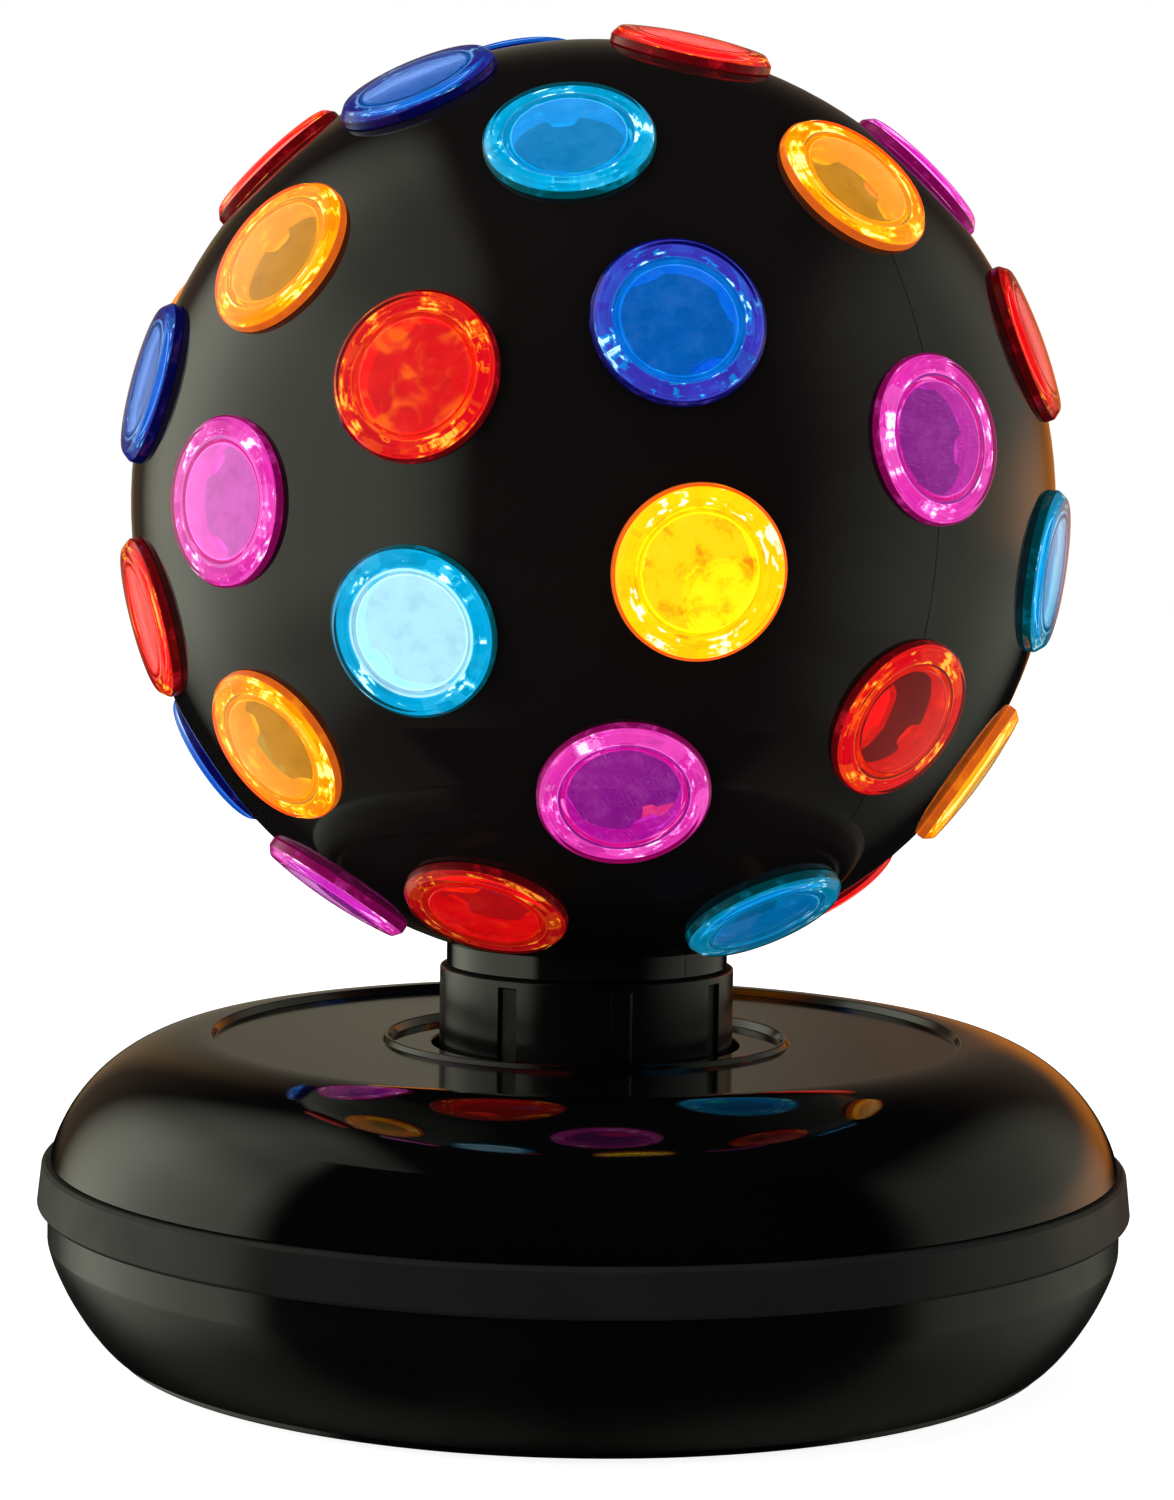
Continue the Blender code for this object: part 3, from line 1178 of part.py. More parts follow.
def make_leads():
    """The lead to the lamp, up the stem's bore, and the lead to the motor."""
    start = DRIVER_TOP + FIT_GAP
    make_lead("led_lead", [
        (0, 0.050, start), (0, 0.0495, 0.0135), (0, 0.046, 0.0165), (0, 0.037, 0.0160),
        (0, 0.025, 0.0120), (0, 0.014, STEM_WINDOW_HEIGHT), (0, 0.007, 0.0113), (0, 0.0025, 0.0145),
        (0, 0.0005, 0.021), (0, 0, 0.030), (0, 0, 0.060), (0, 0, 0.090), (0, 0, STEM_TOP - FIT_GAP),
    ])
    reach = MOTOR_RADIUS + FIT_GAP
    motor_end = pinion_place() + Vector((
        reach * math.cos(MOTOR_LEAD_ANGLE), reach * math.sin(MOTOR_LEAD_ANGLE), MOTOR_LEAD_HEIGHT,
    ))
    outward = Vector((math.cos(MOTOR_LEAD_ANGLE), math.sin(MOTOR_LEAD_ANGLE), 0)) * (4 * LEAD_RADIUS)
    make_lead("motor_lead", [
        (-0.014, 0.050, start), (-0.014, 0.0495, 0.0135), (-0.0145, 0.045, 0.0170),
        (-0.0165, 0.035, 0.0195), (-0.0195, 0.026, 0.0200), motor_end + outward, motor_end,
    ])


def main():
    """Builds the whole light."""
    clear_scene()
    make_feet_and_plate()
    make_lower_shell()
    make_band()
    make_upper_shell()
    make_stem_and_lamp()
    make_motor()
    make_driver_board()
    make_rear_panel()
    make_switch()
    make_leads()
    ball_axis = axis_empty("ball_axis", Vector((0, 0, BALL_CENTRE)))
    make_turntable(ball_axis)
    make_ball(ball_axis)


main()
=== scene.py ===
"""LED disco ball light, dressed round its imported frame.

Sizes here are in millimetres, and MM turns them to metres. The light faces -Y, and longitudes are
counted from -Y towards +X.
"""

import logging
import math
import random
from collections.abc import Callable, Sequence
from dataclasses import dataclass, field
from enum import Enum

import bmesh
import bpy
from mathutils import Matrix, Vector
from mathutils.bvhtree import BVHTree


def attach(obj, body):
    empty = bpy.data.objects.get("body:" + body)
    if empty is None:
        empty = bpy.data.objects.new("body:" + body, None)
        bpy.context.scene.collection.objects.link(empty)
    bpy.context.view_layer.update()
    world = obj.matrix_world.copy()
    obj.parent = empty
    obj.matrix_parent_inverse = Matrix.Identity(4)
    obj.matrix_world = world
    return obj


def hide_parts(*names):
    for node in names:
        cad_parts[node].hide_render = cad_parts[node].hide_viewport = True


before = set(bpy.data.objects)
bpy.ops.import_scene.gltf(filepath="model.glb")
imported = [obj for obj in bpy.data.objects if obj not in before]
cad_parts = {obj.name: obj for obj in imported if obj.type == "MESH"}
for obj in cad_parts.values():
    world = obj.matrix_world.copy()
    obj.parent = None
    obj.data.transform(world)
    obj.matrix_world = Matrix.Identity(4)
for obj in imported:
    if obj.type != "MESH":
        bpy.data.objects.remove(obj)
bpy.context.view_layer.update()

LOG = logging.getLogger("disco_ball_light")
MM = 0.001
QUARTER = math.radians(90)
# An edge that turns by more than this stays sharp.
SHARP = math.radians(38)
# Facets round a large shell, and round a small or hidden piece.
FINE_TURN = 160
PLAIN_TURN = 72
# The clips round a lens's skirt, and the feet and the screws under the base.
CLIPS = 4
CORNERS = 4
# Nearly all of a noise's values lie between these.
NOISE_LOW, NOISE_HIGH = 0.3, 0.7
NOISE = {"From Min": NOISE_LOW, "From Max": NOISE_HIGH}
# The attribute in which a mesh keeps its places from before it was turned.
OWN_PLACE = "own_place"

Point = tuple[float, float]
Section = Callable[[float], Sequence[Point]]
Mesh = bpy.types.Mesh
Item = bpy.types.Object
Tree = bpy.types.NodeTree
Socket = bpy.types.NodeSocket


# Helpers


def linear(colour: str) -> tuple[float, float, float, float]:
    """Turns an sRGB hex value into linear RGBA.

    Args:
        colour: a hex value such as "#1a2b3c".

    Returns:
        The linear red, green, blue and an alpha of 1.
    """
    parts = [int(colour[n : n + 2], 16) / 255 for n in (1, 3, 5)]
    red, green, blue = (p / 12.92 if p <= 0.04045 else ((p + 0.055) / 1.055) ** 2.4 for p in parts)
    return (red, green, blue, 1.0)


def add_node(
    tree: Tree,
    kind: str,
    settings: dict | None = None,
    links: dict | None = None,
) -> bpy.types.Node:
    """Adds a shader node with its settings and links.

    Args:
        tree: the node tree it goes into.
        kind: the node's type, without "ShaderNode".
        settings: attributes, inputs by name or number, or "stops" for a colour ramp, and their values.
        links: inputs by name or number, and the output that feeds each.

    Returns:
        The new node.
    """
    node = tree.nodes.new("ShaderNode" + kind)
    for key, value in (settings or {}).items():
        if key == "stops":
            ramp = node.color_ramp.elements
            while len(ramp) < len(value):
                ramp.new(1.0)
            for stop, (place, colour) in zip(ramp, value):
                stop.position = place
                stop.color = colour
        elif isinstance(key, str) and hasattr(node, key):
            setattr(node, key, value)
        else:
            node.inputs[key].default_value = value
    for key, output in (links or {}).items():
        tree.links.new(output, node.inputs[key])
    return node


def grey(value: float) -> tuple[float, float, float, float]:
    """A neutral colour for a ramp's stop."""
    return (value, value, value, 1.0)


def blended(first: Sequence[float], second: Sequence[float], share: float) -> tuple[float, ...]:
    """The linear colour that lies a share of the way from one to another."""
    return tuple(a + (b - a) * share for a, b in zip(first, second))


def scaled(colour: Sequence[float], factor: float) -> tuple[float, ...]:
    """A linear colour made darker or brighter by a factor."""
    return (*(factor * part for part in colour[:3]), 1.0)


# Finishes


@dataclass(frozen=True)
class Shading:
    """A material under way, with its Principled node and the place on the object, in mm."""

    made: bpy.types.Material
    shader: bpy.types.Node
    place: Socket


@dataclass(frozen=True)
class Finish:
    """A material with a Principled shader.

    The numbers that are the same all over the surface sit on the shader's own sockets, and
    pattern() adds what varies.
    """

    name: str
    colour: str
    roughness: float
    ior: float = 1.5
    metallic: float = 0.0

    def build(self) -> bpy.types.Material:
        """Makes the material, unless an earlier piece has it already.

        Returns:
            The material.
        """
        found = bpy.data.materials.get(self.name)
        if found:
            return found
        made = bpy.data.materials.new(self.name)
        made.use_nodes = True
        tree = made.node_tree
        shader = tree.nodes["Principled BSDF"]
        shader.inputs["Base Color"].default_value = linear(self.colour)
        shader.inputs["Roughness"].default_value = self.roughness
        shader.inputs["Metallic"].default_value = self.metallic
        if self.metallic == 0:
            shader.inputs["IOR"].default_value = self.ior
        made.diffuse_color = linear(self.colour)
        place = {0: self.spot(tree)}
        in_mm = add_node(tree, "VectorMath", {"operation": "SCALE", "Scale": 1 / MM}, place)
        self.pattern(Shading(made, shader, in_mm.outputs[0]))
        return made

    def spot(self, tree: Tree) -> Socket:
        """The place on the object, in metres."""
        return add_node(tree, "TexCoord").outputs["Object"]

    def pattern(self, work: Shading) -> None:
        """Adds what varies over the surface. A plain finish adds nothing."""


@dataclass(frozen=True)
class Moulded(Finish):
    """Injection-moulded or turned plastic: a grain in the mould, and a slow change of colour and gloss.

    The grain is a bump of grain_mm across, stretched by grain_stretch along each axis, and depth_mm
    deep. The gloss wanders by gloss_share over wander_mm, as the skin of a moulding does.
    """

    grain_mm: float = 0.3
    depth_mm: float = 0.004
    grain_stretch: tuple[float, float, float] = (1.0, 1.0, 1.0)
    wander_mm: float = 25.0
    gloss_share: float = 0.25
    colour_share: float = 0.12

    def pattern(self, work: Shading) -> None:
        """Adds the grain, and the slow change of gloss and colour.

        Args:
            work: the material under way.
        """
        tree, shader, place = work.made.node_tree, work.shader, work.place
        squeezed = [1 / (self.grain_mm * share) for share in self.grain_stretch]
        units = add_node(tree, "VectorMath", {"operation": "MULTIPLY", 1: squeezed}, {0: place})
        grain = add_node(tree, "TexNoise", {"Scale": 1.0, "Detail": 2.0}, {"Vector": units.outputs[0]})
        depth = {"Strength": 1.0, "Distance": self.depth_mm * MM}
        bump = add_node(tree, "Bump", depth, {"Height": grain.outputs["Fac"]})
        tree.links.new(bump.outputs[0], shader.inputs["Normal"])
        wander = add_node(
            tree, "TexNoise", {"Scale": 1 / self.wander_mm, "Detail": 3.0}, {"Vector": place}
        )
        low, high = 1 - self.gloss_share, 1 + self.gloss_share
        gloss = NOISE | {"To Min": self.roughness * low, "To Max": self.roughness * high}
        gloss_map = add_node(tree, "MapRange", gloss, {"Value": wander.outputs["Fac"]})
        tree.links.new(gloss_map.outputs[0], shader.inputs["Roughness"])
        base = linear(self.colour)
        darker, paler = scaled(base, 1 - self.colour_share), scaled(base, 1 + self.colour_share)
        stops = {"stops": [(NOISE_LOW, darker), (NOISE_HIGH, paler)]}
        tint = add_node(tree, "ValToRGB", stops, {0: wander.outputs["Fac"]})
        tree.links.new(tint.outputs[0], shader.inputs["Base Color"])


@dataclass(frozen=True)
class PlatedSteel(Finish):
    """Bright plated metal, with fine drawn lines and a mottled grey bloom.

    Real drawn lines are a few hundredths of a millimetre apart. They are drawn line_mm apart, so
    that they show.
    """

    line_mm: float = 0.35
    line_stretch: float = 12
    line_depth_mm: float = 0.003
    bloom_per_mm: float = 0.35
    smoothest: float = 0.7
    roughest: float = 1.5

    def pattern(self, work: Shading) -> None:
        """Adds the drawn lines and the bloom.

        Args:
            work: the material under way.
        """
        tree, shader, place = work.made.node_tree, work.shader, work.place
        drawn = (1 / self.line_mm, 1 / self.line_mm, 1 / (self.line_stretch * self.line_mm))
        units = add_node(tree, "VectorMath", {"operation": "MULTIPLY", 1: drawn}, {0: place})
        lines = add_node(tree, "TexNoise", {"Scale": 1.0, "Detail": 2.0}, {"Vector": units.outputs[0]})
        depth = {"Distance": self.line_depth_mm * MM}
        bump = add_node(tree, "Bump", depth, {"Height": lines.outputs["Fac"]})
        tree.links.new(bump.outputs[0], shader.inputs["Normal"])
        mottle = {"Scale": self.bloom_per_mm, "Detail": 4.0}
        bloom = add_node(tree, "TexNoise", mottle, {"Vector": place})
        rough = {"To Min": self.roughness * self.smoothest, "To Max": self.roughness * self.roughest}
        rough_map = add_node(tree, "MapRange", NOISE | rough, {"Value": bloom.outputs["Fac"]})
        tree.links.new(rough_map.outputs[0], shader.inputs["Roughness"])


@dataclass(frozen=True)
class LensColours:
    """The colours of one lens tint.

    They are the clear plastic, the lit window, the ring under the flange, the rim, the skirt, the
    patches of light and their core. The patches grow with spread.
    """

    body: str
    window: str
    ring: str
    rim: str
    skirt: str
    patch: str
    core: str
    spread: float = 0.0


class Tint(Enum):
    """The five lens tints."""

    RED = LensColours("#ff8a80", "#dc1420", "#d8142a", "#5c060a", "#dc2c14", "#ff8c1c", "#ffdc50", 0.02)
    ORANGE = LensColours("#ffd48c", "#bc860c", "#f8a00a", "#e0641c", "#e89c08", "#ffee10", "#fffbb0", 0.05)
    BLUE = LensColours("#8cb4ff", "#0066ac", "#5040b0", "#0a0a50", "#0c82c8", "#10a0e0", "#d8f6ff")
    CYAN = LensColours("#9ce6ff", "#007cb8", "#00a8d4", "#004a54", "#0098c4", "#50d0f4", "#eefcff")
    MAGENTA = LensColours("#ffacee", "#7c1484", "#d83cb0", "#7c0850", "#c41c8c", "#ff9ce8", "#fff4ff", 0.01)


@dataclass(frozen=True)
class Light:
    """How the lamp lights a lens: its levels, shares of patch and core colour, and pooled light."""

    level: float = 1.0
    window_level: float = 1.0
    window_patch: float = 0.0
    window_core: float = 0.0
    ring_patch: float = 0.0
    pool: float = 0.0


class Glow(Enum):
    """The ways in which a lens is lit."""

    USUAL = Light()
    LOW = Light(level=0.55)
    DIM = Light(window_level=0.08)
    HAZY = Light(window_patch=0.58)
    POOLED = Light(pool=0.85)
    HOT = Light(window_level=1.05, window_core=0.92)
    LAMP = Light(window_level=1.1, window_patch=0.9, ring_patch=0.9)


class LensPart(Enum):
    """The surfaces of a lens."""

    FRONT = "front"
    BACK = "back"
    WINDOW = "window"
    RIM = "rim"
    SKIRT = "skirt"


@dataclass(frozen=True)
class LensFinish(Finish):
    """Clear tinted polystyrene, polished in the mould, with the lamp's light gathered in it.

    Light passes through the front and the window. The window, the rim, the flange's underside and
    the snap skirt glow, and the glow is painted: emission stands in for the lamp's light. The ring
    shows thin level lines of lighter and darker glow, uneven blocks, and painted sparks at the clips.
    The stops along a lens are shares of its radius: the window ends at 0.74, and the rim starts at 0.91.
    """

    tint: Tint = Tint.RED
    glow: Glow = Glow.USUAL
    part: LensPart = LensPart.FRONT
    lens_radius: float = 12.9
    skirt_end: float = 69.9
    seeds: float = 37.0
    ring_level: float = 1.05
    rim_level: float = 0.65
    skirt_level: float = 1.0
    core_level: float = 1.6
    patch_edge: Point = (0.62, 0.67)
    core_edge: Point = (0.70, 0.74)
    wave_depth_mm: float = 0.02
    # How much stronger the scratches' painted glints are on the magenta lenses.
    magenta_wear_glints: float = 2.2

    def spot(self, tree: Tree) -> Socket:
        """The place in the lens's own frame, which its mesh keeps."""
        return add_node(tree, "Attribute", {"attribute_name": OWN_PLACE}).outputs["Vector"]

    def mix(self, tree: Tree, share: Socket, under: Socket, over: Sequence[float]) -> Socket:
        """Lays a colour over another by a share."""
        node = add_node(tree, "Mix", {"data_type": "RGBA", 7: over}, {0: share, 6: under})
        return node.outputs[2]

    def shares(self, tree: Tree, place: Socket) -> dict[str, Socket]:
        """The sockets that the lit parts use.

        Args:
            tree: the material's node tree.
            place: the place on the lens, in mm.

        Returns:
            The place across the axis, its distance from the axis as a share of the lens's radius,
            the angle round it, a number that differs from lens to lens, a blotchy noise and the
            height.
        """
        flat = add_node(tree, "VectorMath", {"operation": "MULTIPLY", 1: (1, 1, 0)}, {0: place})
        out = add_node(tree, "VectorMath", {"operation": "LENGTH"}, {0: flat.outputs[0]})
        over_radius = {"operation": "DIVIDE", 1: self.lens_radius}
        share = add_node(tree, "Math", over_radius, {0: out.outputs["Value"]})
        parts = add_node(tree, "SeparateXYZ", None, {0: place}).outputs
        angle = add_node(tree, "Math", {"operation": "ARCTAN2"}, {0: parts["Y"], 1: parts["X"]})
        own = add_node(tree, "ObjectInfo").outputs["Random"]
        seed = add_node(tree, "Math", {"operation": "MULTIPLY", 1: self.seeds}, {0: own}).outputs[0]
        wide = {"noise_dimensions": "4D", "Scale": 0.30, "Detail": 4.0, "Roughness": 0.6}
        blotch = add_node(tree, "TexNoise", wide, {"Vector": place, "W": seed})
        return {
            "flat": flat.outputs[0], "share": share.outputs[0], "angle": angle.outputs[0],
            "seed": seed, "blotch": blotch.outputs["Fac"], "height": parts["Z"],
        }

    def polar(
        self, tree: Tree, at: dict[str, Socket], turns: float, measure: str, steps: float
    ) -> Socket:
        """A place that runs round the lens and along another measure, for patterns that follow it.

        Args:
            tree: the material's node tree.
            at: the sockets from shares().
            turns: pattern units in a radian round the lens.
            measure: the other measure, a key of at.
            steps: pattern units in one of that measure.

        Returns:
            The place in pattern units.
        """
        x = add_node(tree, "Math", {"operation": "MULTIPLY", 1: turns}, {0: at["angle"]}).outputs[0]
        y = add_node(tree, "Math", {"operation": "MULTIPLY", 1: steps}, {0: at[measure]}).outputs[0]
        return add_node(tree, "CombineXYZ", None, {"X": x, "Y": y, "Z": at["seed"]}).outputs[0]

    def patches(self, tree: Tree, at: dict[str, Socket]) -> tuple[Socket, Socket]:
        """The light that gathers at the clips and along the window's outline.

        Args:
            tree: the material's node tree.
            at: the sockets from shares().

        Returns:
            The shares of the patch colour and of the core colour.
        """
        turned_by = {"operation": "MULTIPLY", 1: float(CLIPS)}
        four = add_node(tree, "Math", turned_by, {0: at["angle"]})
        wave = add_node(tree, "Math", {"operation": "COSINE"}, {0: four.outputs[0]})
        near = {"From Min": 0.15, "From Max": 0.70, "To Max": 0.10}
        clip = add_node(tree, "MapRange", near, {"Value": wave.outputs[0]})
        ragged = {"Scale": 1.0, "Detail": 3.0, "Roughness": 0.55}
        place = self.polar(tree, at, 4.4, "share", 13.0)
        total = add_node(tree, "TexNoise", ragged, {"Vector": place}).outputs["Fac"]
        broad = {"noise_dimensions": "4D", "Scale": 0.15, "Detail": 1.0}
        side = add_node(tree, "TexNoise", broad, {"Vector": at["flat"], "W": at["seed"]})
        tilt = {"From Min": 0.35, "From Max": 0.65, "To Min": -0.07, "To Max": 0.07}
        lean = add_node(tree, "MapRange", tilt, {"Value": side.outputs["Fac"]})
        line = [(0.738, grey(0)), (0.748, grey(0.05)), (0.765, grey(0.05)), (0.785, grey(0))]
        outline = add_node(tree, "ValToRGB", {"stops": line}, {0: at["share"]})
        for part in (clip, lean, outline):
            both = {0: total, 1: part.outputs[0]}
            total = add_node(tree, "Math", {"operation": "ADD"}, both).outputs[0]
        spread = self.tint.value.spread
        patch, core = (
            add_node(tree, "MapRange", {"From Min": low - spread, "From Max": high - spread}, {0: total})
            for low, high in (self.patch_edge, self.core_edge)
        )
        return patch.outputs[0], core.outputs[0]

    def ring_colour(self, tree: Tree, at: dict[str, Socket]) -> Socket:
        """The glow of the ring under the flange, with its lines, blocks and patches.

        Args:
            tree: the material's node tree.
            at: the sockets from shares().

        Returns:
            The colour.
        """
        colours = self.tint.value
        rim, patch, core = linear(colours.rim), linear(colours.patch), linear(colours.core)
        ring = blended(linear(colours.ring), patch, self.glow.value.ring_patch)
        deep, dark = scaled(ring, 0.62), scaled(rim, 0.45)
        pale, light = blended(ring, patch, 0.28), blended(ring, patch, 0.55)
        waver = {"To Min": -0.008, "To Max": 0.008}
        jitter = add_node(tree, "MapRange", waver, {"Value": at["blotch"]})
        edge = add_node(tree, "Math", {"operation": "ADD"}, {0: at["share"], 1: jitter.outputs[0]})
        # The lighter and darker lines, and the dark band before the rim, are painted light and shade.
        stops = [
            (0.740, light), (0.752, light), (0.760, ring), (0.796, ring), (0.800, deep), (0.806, ring),
            (0.838, ring), (0.843, pale), (0.850, ring), (0.882, ring), (0.887, pale), (0.893, ring),
            (0.905, ring), (0.915, dark), (0.930, dark), (0.940, rim), (1.0, rim),
        ]
        body = add_node(tree, "ValToRGB", {"stops": stops}, {0: edge.outputs[0]}).outputs[0]
        blocks = {"Scale": 1.0, "distance": "CHEBYCHEV", "Randomness": 0.7}
        place = self.polar(tree, at, 3.2, "share", 9.0)
        cells = add_node(tree, "TexVoronoi", blocks, {"Vector": place})
        cell = add_node(tree, "SeparateColor", None, {0: cells.outputs["Color"]}).outputs[0]
        layers = []
        for low, high, most, over in ((0.30, 0.05, 0.5, deep), (0.62, 0.95, 0.30, patch)):
            step = {"From Min": low, "From Max": high, "To Max": most}
            layers.append((add_node(tree, "MapRange", step, {"Value": cell}).outputs[0], over))
        hottest = blended(core, grey(1.0), 1.0 if self.glow is Glow.LAMP else 0.0)
        layers += zip(self.patches(tree, at), (patch, scaled(hottest, self.core_level)))
        band = [(0.72, grey(0)), (0.745, grey(1)), (0.895, grey(1)), (0.91, grey(0))]
        inside = add_node(tree, "ValToRGB", {"stops": band}, {0: at["share"]}).outputs[0]
        for blend, over in layers:
            share = add_node(tree, "Math", {"operation": "MULTIPLY"}, {0: blend, 1: inside})
            body = self.mix(tree, share.outputs[0], body, over)
        return body

    def rim_colour(self, tree: Tree, at: dict[str, Socket]) -> Socket:
        """The glow of the rounded rim: deep, with a few brighter stretches.

        Args:
            tree: the material's node tree.
            at: the sockets from shares().

        Returns:
            The colour.
        """
        ring, rim = linear(self.tint.value.ring), linear(self.tint.value.rim)
        stops = [(0.0, rim), (0.54, rim), (0.64, blended(ring, rim, 0.5)), (0.74, ring)]
        return add_node(tree, "ValToRGB", {"stops": stops}, {0: at["blotch"]}).outputs[0]

    def skirt_colour(self, tree: Tree, at: dict[str, Socket]) -> Socket:
        """The glow of the snap skirt, with long glints round it and a light line at its end.

        Args:
            tree: the material's node tree.
            at: the sockets from shares().

        Returns:
            The colour.
        """
        colours, light = self.tint.value, self.glow.value
        skirt, patch, core = linear(colours.skirt), linear(colours.patch), linear(colours.core)
        skirt = blended(blended(skirt, patch, light.ring_patch), core, 0.7 * light.window_core)
        place = self.polar(tree, at, 2.2, "height", 0.8)
        long = {"Scale": 1.0, "Detail": 3.0, "Roughness": 0.6}
        glints = add_node(tree, "TexNoise", long, {"Vector": place}).outputs["Fac"]
        stops = [
            (0.30, scaled(skirt, 0.6)), (0.48, skirt), (0.60, skirt),
            (0.64, blended(skirt, patch, 0.5)), (0.69, patch), (0.72, core),
        ]
        body = add_node(tree, "ValToRGB", {"stops": stops}, {0: glints}).outputs[0]
        ends = {"From Min": self.skirt_end + 0.45, "From Max": self.skirt_end + 0.2, "To Max": 0.8}
        end = add_node(tree, "MapRange", ends, {"Value": at["height"]})
        return self.mix(tree, end.outputs[0], body, patch)

    def window_colour(self, tree: Tree, at: dict[str, Socket]) -> Socket:
        """The glow of the window, with hairlines, mottling and the light that gathers in it.

        Args:
            tree: the material's node tree.
            at: the sockets from shares().

        Returns:
            The colour.
        """
        colours, light = self.tint.value, self.glow.value
        window, patch, core = linear(colours.window), linear(colours.patch), linear(colours.core)
        window = blended(blended(window, patch, light.window_patch), core, light.window_core)
        lit = self.glow is Glow.LAMP
        dark = scaled(linear(colours.ring) if lit else window, 0.9)
        stops = [(0.36, dark), (0.50, window), (0.68, blended(window, core, 0.025))]
        body = add_node(tree, "ValToRGB", {"stops": stops}, {0: at["blotch"]}).outputs[0]
        glinting_wear = self.magenta_wear_glints if self.tint is Tint.MAGENTA else 1.0
        # Real scratches are hair-thin. These are drawn about a tenth of a millimetre wide, to show.
        # They are real wear, and the light they catch is painted: bright lines of the core colour in the
        # glow, stronger on the magenta lenses.
        for lean, amount in (((0.45, 9.0, 0), 0.06), ((8.0, 0.6, 0), 0.035)):
            drawn = add_node(tree, "VectorMath", {"operation": "MULTIPLY", 1: lean}, {0: at["flat"]})
            lines = {"noise_dimensions": "4D", "Scale": 1.0, "Detail": 3.0, "Roughness": 0.7}
            fine = add_node(tree, "TexNoise", lines, {"Vector": drawn.outputs[0], "W": at["seed"]})
            deepest = {"From Min": 0.60, "From Max": 0.66, "To Max": amount * glinting_wear}
            scratch = add_node(tree, "MapRange", deepest, {"Value": fine.outputs["Fac"]})
            body = self.mix(tree, scratch.outputs[0], body, core)
        broad = {"noise_dimensions": "4D", "Scale": 0.17, "Detail": 2.0, "Distortion": 1.0}
        pool = add_node(tree, "TexNoise", broad, {"Vector": at["flat"], "W": at["seed"]})
        reach = {"interpolation_type": "SMOOTHSTEP", "From Min": 0.46, "From Max": 0.64}
        reach["To Max"] = light.pool
        gathered = add_node(tree, "MapRange", reach, {"Value": pool.outputs["Fac"]})
        return self.mix(tree, gathered.outputs[0], body, patch)

    def pattern(self, work: Shading) -> None:
        """Makes it clear where it is clear, and adds the glow of this part.

        Args:
            work: the material under way.
        """
        tree, shader, place = work.made.node_tree, work.shader, work.place
        work.made.cycles.emission_sampling = "NONE"
        ring = linear(self.tint.value.ring)
        # The tinted plastic dims and colours what its gloss mirrors.
        shader.inputs["Specular Tint"].default_value = [0.12 + 0.30 * c for c in ring[:3]] + [1.0]
        if self.part in (LensPart.BACK, LensPart.SKIRT):
            shader.inputs["Specular IOR Level"].default_value = 0.0
        if self.part in (LensPart.FRONT, LensPart.WINDOW):
            shader.inputs["Transmission Weight"].default_value = 1.0
        if self.part is LensPart.FRONT:
            wave = add_node(tree, "TexNoise", {"Scale": 0.22, "Detail": 1.0}, {"Vector": place})
            depth = {"Distance": self.wave_depth_mm * MM}
            slow = add_node(tree, "Bump", depth, {"Height": wave.outputs["Fac"]})
            tree.links.new(slow.outputs[0], shader.inputs["Normal"])
            return
        # The glow of these parts is painted light: emission that stands in for the lamp's light.
        colour, strength, uneven = {
            LensPart.WINDOW: (self.window_colour, self.glow.value.window_level, 0.06),
            LensPart.RIM: (self.rim_colour, self.rim_level, 0.25),
            LensPart.SKIRT: (self.skirt_colour, self.skirt_level, 0.15),
            LensPart.BACK: (self.ring_colour, self.ring_level, 0.15),
        }[self.part]
        at = self.shares(tree, place)
        strength *= self.glow.value.level
        level = NOISE | {"To Min": (1 - uneven) * strength, "To Max": (1 + uneven) * strength}
        lit = add_node(tree, "MapRange", level, {"Value": at["blotch"]}).outputs[0]
        tree.links.new(colour(tree, at), shader.inputs["Emission Color"])
        tree.links.new(lit, shader.inputs["Emission Strength"])


@dataclass(frozen=True)
class LampLit(Finish):
    """The lamp's resin, or a surface that the lamp lights: the light on it is painted as mottled emission.
    """

    glow: str = "#fff4e0"
    strength: float = 1.0
    mottle_mm: float = 9.0
    dimmest: float = 0.45
    brightest: float = 1.35

    def pattern(self, work: Shading) -> None:
        """Adds the lamp's light on it.

        Args:
            work: the material under way.
        """
        tree, shader, place = work.made.node_tree, work.shader, work.place
        work.made.cycles.emission_sampling = "NONE"
        wide = {"Scale": 1 / self.mottle_mm, "Detail": 5.0, "Roughness": 0.7}
        mottle = add_node(tree, "TexNoise", wide, {"Vector": place})
        level = {"From Min": 0.32, "From Max": 0.68}
        level |= {"To Min": self.dimmest * self.strength, "To Max": self.brightest * self.strength}
        uneven = add_node(tree, "MapRange", level, {"Value": mottle.outputs["Fac"]})
        shader.inputs["Emission Color"].default_value = linear(self.glow)
        tree.links.new(uneven.outputs[0], shader.inputs["Emission Strength"])


# The grain of a real moulding is a tenth of a millimetre or finer, too fine to show. The grains
# below are drawn three to ten times coarser, so that they show. The ripples of the polished walls,
# 1.2 and 3.5 mm, and the weave under the solder mask, 0.5 mm, have their real sizes.

# ABS, injection-moulded in a polished mould: near black, a mirror with a faint ripple.
POLISHED_ABS = Moulded(
    "polished_black_abs", "#070708", 0.045, grain_mm=3.5, depth_mm=0.0012, wander_mm=30
)
# The ball's ABS, with the same polish and a slightly browner black.
BALL_ABS = Moulded(
    "polished_brown_black_abs", "#1b1718", 0.045, grain_mm=3.5, depth_mm=0.0012, wander_mm=30
)
# The same ABS on the deck, where the mould is a little duller: its mirror image is slightly soft.
DECK_ABS = Moulded("deck_black_abs", "#08080a", 0.11, grain_mm=1.2, depth_mm=0.0010, wander_mm=30)
# ABS from a spark-eroded mould: a satin sheen that spreads each light.
SATIN_ABS = Moulded("satin_black_abs", "#0b0b0c", 0.27, grain_mm=0.35, depth_mm=0.0030, wander_mm=20)
# Matte charcoal ABS from an etched mould: an even grain and hardly any sheen.
CHARCOAL_ABS = Moulded(
    "charcoal_abs", "#222525", 0.46, ior=1.36, grain_mm=0.30, depth_mm=0.0050, wander_mm=18
)
